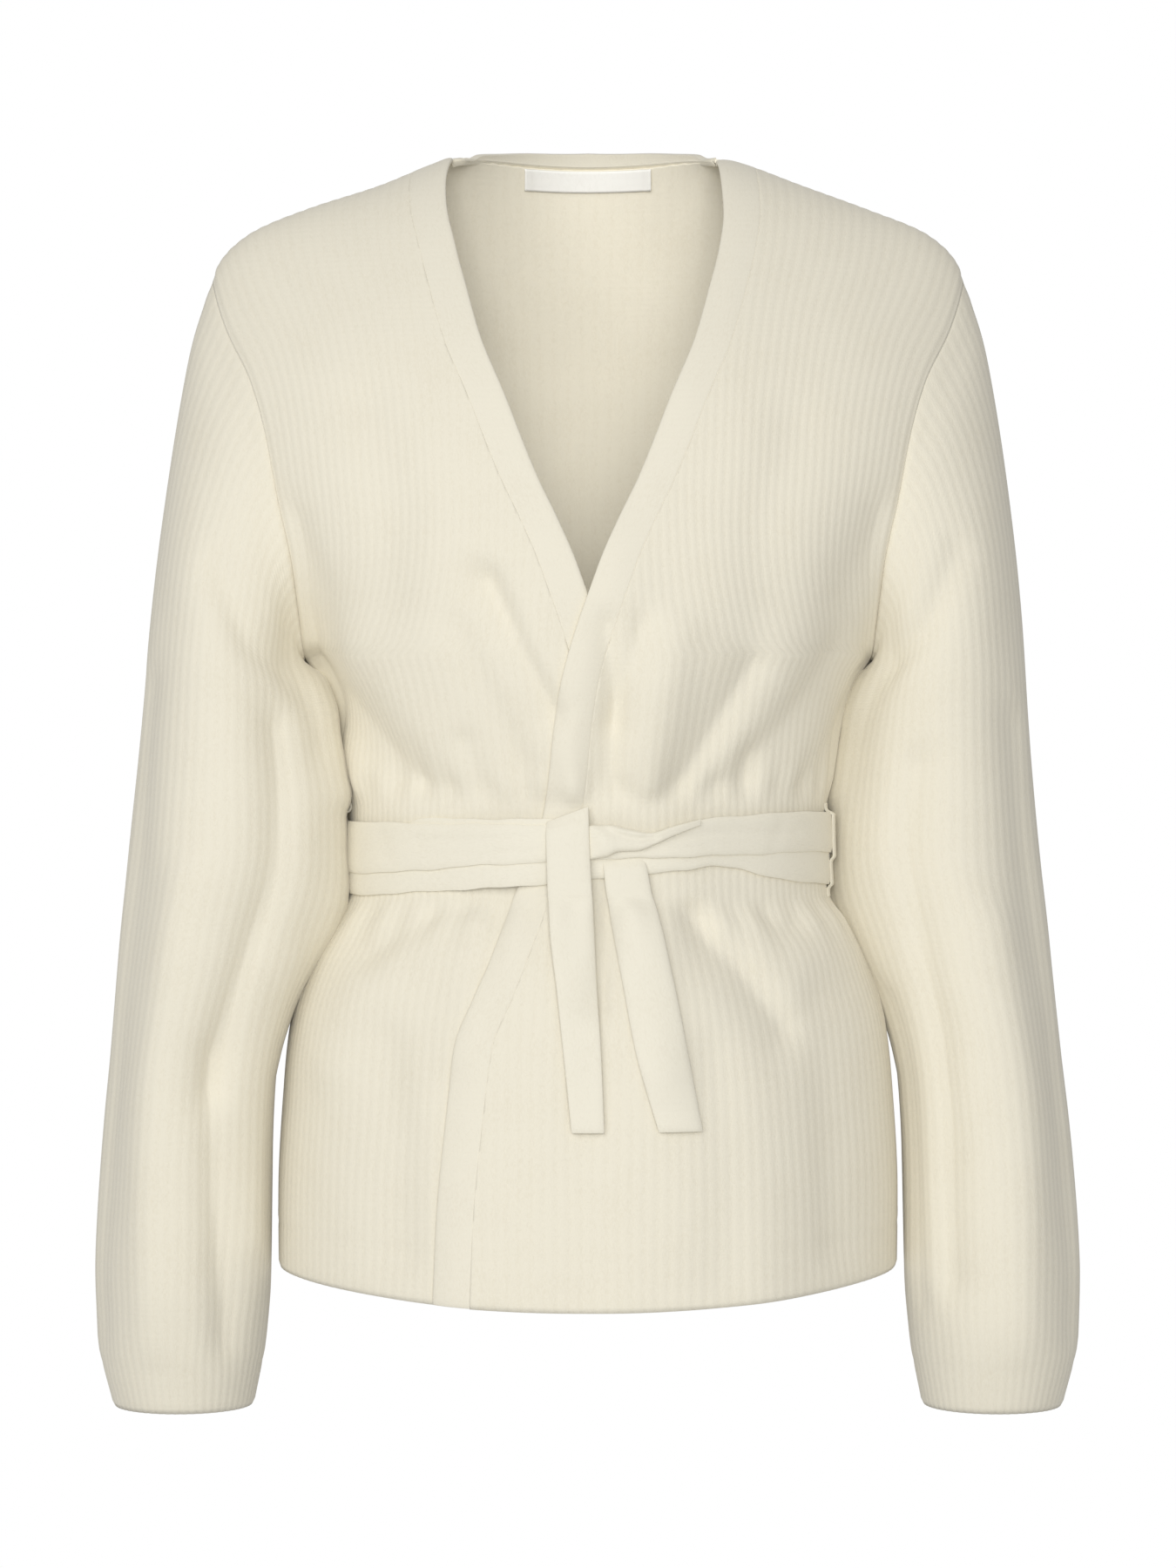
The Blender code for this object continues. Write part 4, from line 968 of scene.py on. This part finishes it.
    def loop(self, name: str, side: Wearer) -> None:
        """Makes a belt loop, a narrow strip that arches over the belt at the side."""
        half = 4.5 / 190.0
        turn = side.value * np.linspace(0.93 - half, 0.93 + half, 7)
        hug = by_x((-387, 0), (-383, 0.2), (-380.5, LOWER_IN + BELT_WALL), (-369, LOWER_IN + BELT_WALL), (-366, OVER_BELT),
                   (-344, OVER_BELT), (-341.5, 0.4), (-338, 0))
        heights = np.linspace(-387.0, -338.0, 50)
        rows, outward, cloth = [], [], []
        for height in heights:
            lift = float(hug.at(height)) + self.loop_wall + dip(np.linspace(0, 9, 7), 0.5, 1.2)
            lift = lift + dip(9 - np.linspace(0, 9, 7), 0.5, 1.2)
            rows.append(FRONT.surface(turn, height, lift))
            outward.append(FRONT.normal(turn, height))
            cloth.append(np.stack([np.linspace(0, 9, 7) / RIB_PITCH, np.full(7, height / RIB_PITCH)], axis=1))
        piece = self.weaver.grid(f"{name}_cloth", np.array(rows), np.array(cloth), np.array(outward))
        self.weaver.thicken(piece, self.loop_wall, 0.4)
        self.weaver.place(piece, "belt", self.cloth, name)

    def make(self) -> None:
        """Makes the windings, the knot, the free ends and the loops."""
        tail_in = LAYER + OVER_BELT
        self.winding("belt_lower", self.lower_top, self.lower_bottom, (-381.5, -357.0), LOWER_IN + BELT_WALL)
        self.winding("belt_upper", self.upper_top, self.upper_bottom, (-367.0, -343.0), UPPER_IN + BELT_WALL)
        self.tail("tail_right", TailTable(
            left=by_x((-498, -8.2), (-462, -12), (-430, -15.5), (-405, -18.5), (-384, -19.3), (-366, -19.8),
                      (-343.5, -20.3)),
            right=by_x((-498, 8.2), (-462, 6.6), (-430, 4.6), (-405, 3.3), (-384, 2.2), (-366, 1.2), (-343.5, 0.4)),
            lift=by_x((-498, LAYER + 2.2), (-462, LAYER + 2.4), (-430, LAYER + 3.6), (-405, LAYER + 4.8),
                      (-384, tail_in + 1.5), (-366, tail_in + 2.0), (-343.5, tail_in + 1.4))),
            -342.5, -498.0, 3.6, 8.0)
        self.tail("tail_left", TailTable(
            left=by_x((-498, 34), (-462, 23), (-430, 16.8), (-405, 12.2), (-384, 8.8), (-362, 6.4)),
            right=by_x((-498, 56), (-462, 48.4), (-430, 41.6), (-405, 36), (-384, 31), (-362, 27.4)),
            lift=by_x((-498, LAYER + 1.6), (-462, LAYER + 1.8), (-430, LAYER + 2.2), (-405, LAYER + 2.6),
                      (-384, LAYER + 3.0), (-370, LAYER + 2.8), (-366, LAYER + 1.2), (-362, LAYER + 0.6))),
            -362.0, -498.0, 0.4, 0.0)
        self.knot()
        self.loop("loop_left", Wearer.LEFT)
        self.loop("loop_right", Wearer.RIGHT)


def by_x(*knots: tuple[float, float]) -> Profile:
    """A profile from its knots."""
    return Profile(tuple((float(a), float(b)) for a, b in knots))


@dataclass
class NeckLabel:
    """The bare woven label on the inside of the back neck."""

    weaver: Weaver
    ribbon: bpy.types.Material
    half_width: float = 35.4
    top: float = -64.4
    bottom: float = -73.8
    gap: float = 1.3
    thickness: float = 0.7

    def make(self) -> None:
        """Makes the label, a flat ribbon with turned ends."""
        rows, outward, cloth = [], [], []
        lift = -WALL - self.gap
        for height in np.linspace(self.bottom, self.top, 13):
            end = BACK.turn_at(self.half_width, height)
            turn = np.linspace(-end, end, 61)
            across = np.abs(np.linspace(-self.half_width, self.half_width, 61))
            fold = 0.35 * ease((across - self.half_width + 5.0) / 0.8)
            rows.append(BACK.surface(turn, height, lift - fold))
            outward.append(-BACK.normal(turn, height))
            cloth.append(np.stack([turn * 150 / RIB_PITCH, np.full(61, height / RIB_PITCH)], axis=1))
        piece = self.weaver.grid("label_cloth", np.array(rows), np.array(cloth), np.array(outward))
        self.weaver.thicken(piece, self.thickness, 0.0)
        self.weaver.place(piece, "label", self.ribbon, "label")


class Graph:
    """A short way to add and join the nodes of one node tree."""

    def __init__(self, tree: bpy.types.NodeTree) -> None:
        """Keeps the tree."""
        self.tree = tree

    def add(self, kind: str, inputs: dict[Any, Any] | None = None, **settings: Any) -> bpy.types.Node:
        """Adds a node.

        Args:
            kind: The node's type name.
            inputs: Values or sockets for its inputs, by name or number.
            **settings: Its properties.

        Returns:
            The node.
        """
        node = self.tree.nodes.new(kind)
        for name, value in settings.items():
            setattr(node, name, value)
        for name, value in (inputs or {}).items():
            if isinstance(value, bpy.types.NodeSocket):
                self.tree.links.new(value, node.inputs[name])
            else:
                node.inputs[name].default_value = value
        return node

    def math(self, operation: str, *values: Any) -> bpy.types.NodeSocket:
        """Adds a Math node and returns its result."""
        return self.add("ShaderNodeMath", dict(enumerate(values)), operation=operation).outputs[0]

    def mix(self, share: Any, low: Any, high: Any) -> bpy.types.NodeSocket:
        """Adds a colour Mix node and returns its result."""
        node = self.add("ShaderNodeMix", {0: share, 6: low, 7: high}, data_type="RGBA")
        return node.outputs[2]


@dataclass(frozen=True)
class WoolFinish:
    """One finish of brushed wool knit."""

    name: str
    colour: tuple[float, float, float, float]
    # Painted shade: the colour that the rib grooves darken towards, which is also the low end of the random tone of
    # fibres and clouds.
    hollow: tuple[float, float, float, float]
    # Depth of the rib grooves in the bump, and the strength of their painted shade in the colour.
    rib: float
    pile: float
    sheen: float

    @staticmethod
    def pile_group() -> bpy.types.NodeTree:
        """The shared node group of brushed knit: ribs, stitches and pile, with painted shade in the rib grooves and
        random tone in the colour.
        """
        group = bpy.data.node_groups.get("brushed knit")
        if group:
            return group
        group = bpy.data.node_groups.new("brushed knit", "ShaderNodeTree")
        for name, kind in (("Cloth", "NodeSocketVector"), ("Colour", "NodeSocketColor"),
                           ("Groove Shade And Tone", "NodeSocketColor"), ("Rib", "NodeSocketFloat"), ("Pile", "NodeSocketFloat")):
            group.interface.new_socket(name=name, in_out="INPUT", socket_type=kind)
        for name, kind in (("Colour", "NodeSocketColor"), ("Height", "NodeSocketFloat"),
                           ("Roughness", "NodeSocketFloat")):
            group.interface.new_socket(name=name, in_out="OUTPUT", socket_type=kind)
        graph = Graph(group)
        given = graph.add("NodeGroupInput")
        split = graph.add("ShaderNodeSeparateXYZ", {0: given.outputs["Cloth"]})
        wave = graph.math("COSINE", graph.math("MULTIPLY", split.outputs[0], 2 * math.pi))
        groove = graph.math("POWER", graph.math("MULTIPLY_ADD", wave, -0.5, 0.5), 1.7)
        fibre_at = graph.add("ShaderNodeMapping", {0: given.outputs["Cloth"], "Scale": (5.0, 2.4, 1.0)})
        fibre = graph.add("ShaderNodeTexNoise", {"Vector": fibre_at.outputs[0], "Scale": 1.0, "Detail": 5.0,
                                                 "Roughness": 0.62, "Distortion": 0.6}, noise_dimensions="2D")
        cloud = graph.add("ShaderNodeTexNoise", {"Vector": given.outputs["Cloth"], "Scale": 0.22, "Detail": 2.0},
                          noise_dimensions="2D")
        stitch = graph.math("COSINE", graph.math("MULTIPLY", split.outputs[1], 4 * math.pi))
        stitch = graph.math("MULTIPLY", stitch, graph.math("MULTIPLY_ADD", cloud.outputs[0], 0.12, -0.03))
        patchy = graph.math("MULTIPLY_ADD", cloud.outputs[0], 1.6, -0.1)
        # Painted shade: the colour darkens in the rib grooves, more in some patches than others; the fibre and cloud
        # noise below add random tone.
        shade = graph.math("MULTIPLY", graph.math("MULTIPLY", groove, patchy), given.outputs["Rib"])
        shade = graph.math("MULTIPLY_ADD", graph.math("SUBTRACT", 0.5, fibre.outputs[0]), 0.9, shade)
        shade = graph.math("MULTIPLY_ADD", graph.math("SUBTRACT", 0.5, cloud.outputs[0]), 0.45, shade)
        colour = graph.mix(graph.add("ShaderNodeClamp", {0: shade}).outputs[0], given.outputs["Colour"],
                           given.outputs["Groove Shade And Tone"])
        height = graph.math("MULTIPLY", fibre.outputs[0], given.outputs["Pile"])
        height = graph.math("ADD", height, stitch)
        height = graph.math("MULTIPLY_ADD", groove, graph.math("MULTIPLY", given.outputs["Rib"], -0.5), height)
        rough = graph.math("MULTIPLY_ADD", fibre.outputs[0], 0.12, 0.86)
        graph.add("NodeGroupOutput", {"Colour": colour, "Height": height, "Roughness": rough})
        return group

    def make(self) -> bpy.types.Material:
        """Makes the finish's material."""
        look = bpy.data.materials.new(self.name)
        look.use_nodes = True
        graph = Graph(look.node_tree)
        shader = look.node_tree.nodes["Principled BSDF"]
        cloth = graph.add("ShaderNodeUVMap", uv_map="cloth")
        knit = graph.add("ShaderNodeGroup", node_tree=self.pile_group())
        look.node_tree.links.new(cloth.outputs[0], knit.inputs["Cloth"])
        knit.inputs["Colour"].default_value = self.colour
        # The second colour is painted shade in the rib grooves, mixed with random tone.
        knit.inputs["Groove Shade And Tone"].default_value = self.hollow
        knit.inputs["Rib"].default_value = self.rib
        knit.inputs["Pile"].default_value = self.pile
        bump = graph.add("ShaderNodeBump", {"Height": knit.outputs["Height"], "Strength": 0.55,
                                            "Distance": 0.0006})
        look.node_tree.links.new(knit.outputs["Colour"], shader.inputs["Base Color"])
        look.node_tree.links.new(knit.outputs["Roughness"], shader.inputs["Roughness"])
        look.node_tree.links.new(bump.outputs[0], shader.inputs["Normal"])
        shader.inputs["Specular IOR Level"].default_value = 0.2
        shader.inputs["Sheen Weight"].default_value = self.sheen
        shader.inputs["Sheen Roughness"].default_value = 0.6
        shader.inputs["Sheen Tint"].default_value = (1.0, 0.97, 0.9, 1.0)
        return look


@dataclass(frozen=True)
class Studio:
    """The camera at the photograph's angle, soft lights and a pale floor."""

    distance: float = 2.2
    eye_height: float = -0.3285
    frame_height: float = 0.819
    floor_height: float = -0.95

    def camera(self) -> None:
        """Makes the camera, level in front of the garment."""
        data = bpy.data.cameras.new("camera")
        data.sensor_fit = "AUTO"
        data.sensor_width = 36.0
        data.lens = 36.0 * self.distance / self.frame_height
        camera = bpy.data.objects.new("camera", data)
        camera.location = (0.0, -self.distance, self.eye_height)
        camera.rotation_euler = (math.pi / 2, 0.0, 0.0)
        bpy.context.scene.collection.objects.link(camera)
        bpy.context.scene.camera = camera

    def lamp(self, name: str, place: tuple[float, float, float], size: float, power: float) -> bpy.types.Object:
        """Makes a square soft light that looks at the middle of the garment."""
        data = bpy.data.lights.new(name, "AREA")
        data.shape = "SQUARE"
        data.size = size
        data.energy = power
        lamp = bpy.data.objects.new(name, data)
        lamp.location = place
        towards = Vector((0.0, 0.0, self.eye_height)) - Vector(place)
        lamp.rotation_euler = towards.to_track_quat("-Z", "Y").to_euler()
        bpy.context.scene.collection.objects.link(lamp)
        return lamp

    def light_hollow(self, names: Sequence[str]) -> None:
        """Lights the inside of the neck a little more, on the named pieces alone."""
        inside = bpy.data.collections.new("inside of the neck")
        for name in names:
            inside.objects.link(bpy.data.objects[name])
        lamp = self.lamp("hollow", (0.0, -2.4, 0.2), 0.8, 18.0)
        lamp.light_linking.receiver_collection = inside

    def surroundings(self) -> None:
        """Makes the white surroundings, which show at full white but light the garment more softly."""
        world = bpy.data.worlds.new("white studio")
        world.use_nodes = True
        world.node_tree.nodes.clear()
        graph = Graph(world.node_tree)
        seen = graph.add("ShaderNodeBackground", {"Color": (1, 1, 1, 1), "Strength": 1.0})
        light = graph.add("ShaderNodeBackground", {"Color": (1, 0.995, 0.985, 1), "Strength": 0.35})
        path = graph.add("ShaderNodeLightPath")
        both = graph.add("ShaderNodeMixShader", {0: path.outputs["Is Camera Ray"], 1: light.outputs[0],
                                                 2: seen.outputs[0]})
        graph.add("ShaderNodeOutputWorld", {0: both.outputs[0]})
        bpy.context.scene.world = world

    def floor(self) -> None:
        """Makes the round pale floor."""
        shape = bmesh.new()
        bmesh.ops.create_circle(shape, cap_ends=True, segments=96, radius=1.1)
        mesh = bpy.data.meshes.new("floor")
        shape.to_mesh(mesh)
        shape.free()
        floor = bpy.data.objects.new("floor", mesh)
        floor.location = (0.0, 0.0, self.floor_height)
        look = bpy.data.materials.new("pale floor")
        look.use_nodes = True
        look.node_tree.nodes["Principled BSDF"].inputs["Base Color"].default_value = (0.86, 0.86, 0.85, 1)
        look.node_tree.nodes["Principled BSDF"].inputs["Roughness"].default_value = 0.9
        mesh.materials.append(look)
        bpy.context.scene.collection.objects.link(floor)

    def make(self) -> None:
        """Makes the whole studio."""
        self.camera()
        self.surroundings()
        self.floor()
        self.lamp("key", (-1.1, -2.2, 0.7), 1.6, 21.0)
        self.lamp("front", (0.1, -2.5, -0.1), 1.0, 27.0)
        bpy.context.scene.view_settings.view_transform = "Standard"


def main() -> None:
    """Dresses the frame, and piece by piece."""
    logging.basicConfig(level=logging.INFO, format="%(name)s: %(message)s")
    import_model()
    studio = Studio()
    studio.make()
    # Each finish's second colour is painted shade in the rib grooves and the dark end of random tone; without ribs it
    # is random tone alone.
    knit = WoolFinish("ribbed wool", (0.80, 0.755, 0.63, 1), (0.68, 0.62, 0.48, 1), 0.14, 0.4, 0.45).make()
    plain = WoolFinish("smooth wool", (0.80, 0.757, 0.635, 1), (0.68, 0.62, 0.49, 1), 0.0, 0.4, 0.45).make()
    belt = WoolFinish("belt knit", (0.81, 0.77, 0.65, 1), (0.69, 0.64, 0.51, 1), 0.0, 0.4, 0.4).make()
    ribbon = WoolFinish("woven ribbon", (0.86, 0.85, 0.81, 1), (0.74, 0.72, 0.67, 1), 0.0, 0.2, 0.1).make()
    weaver = Weaver()
    panels = Panels(weaver, knit, plain)
    panels.make()
    SleevePair(weaver, knit, panels).make()
    TiedBelt(weaver, belt).make()
    NeckLabel(weaver, ribbon).make()
    studio.light_hollow(("back_cloth", "label_cloth"))
    LOG.info("%d pieces of cloth", len(weaver.made))


if __name__ == "__main__":
    main()
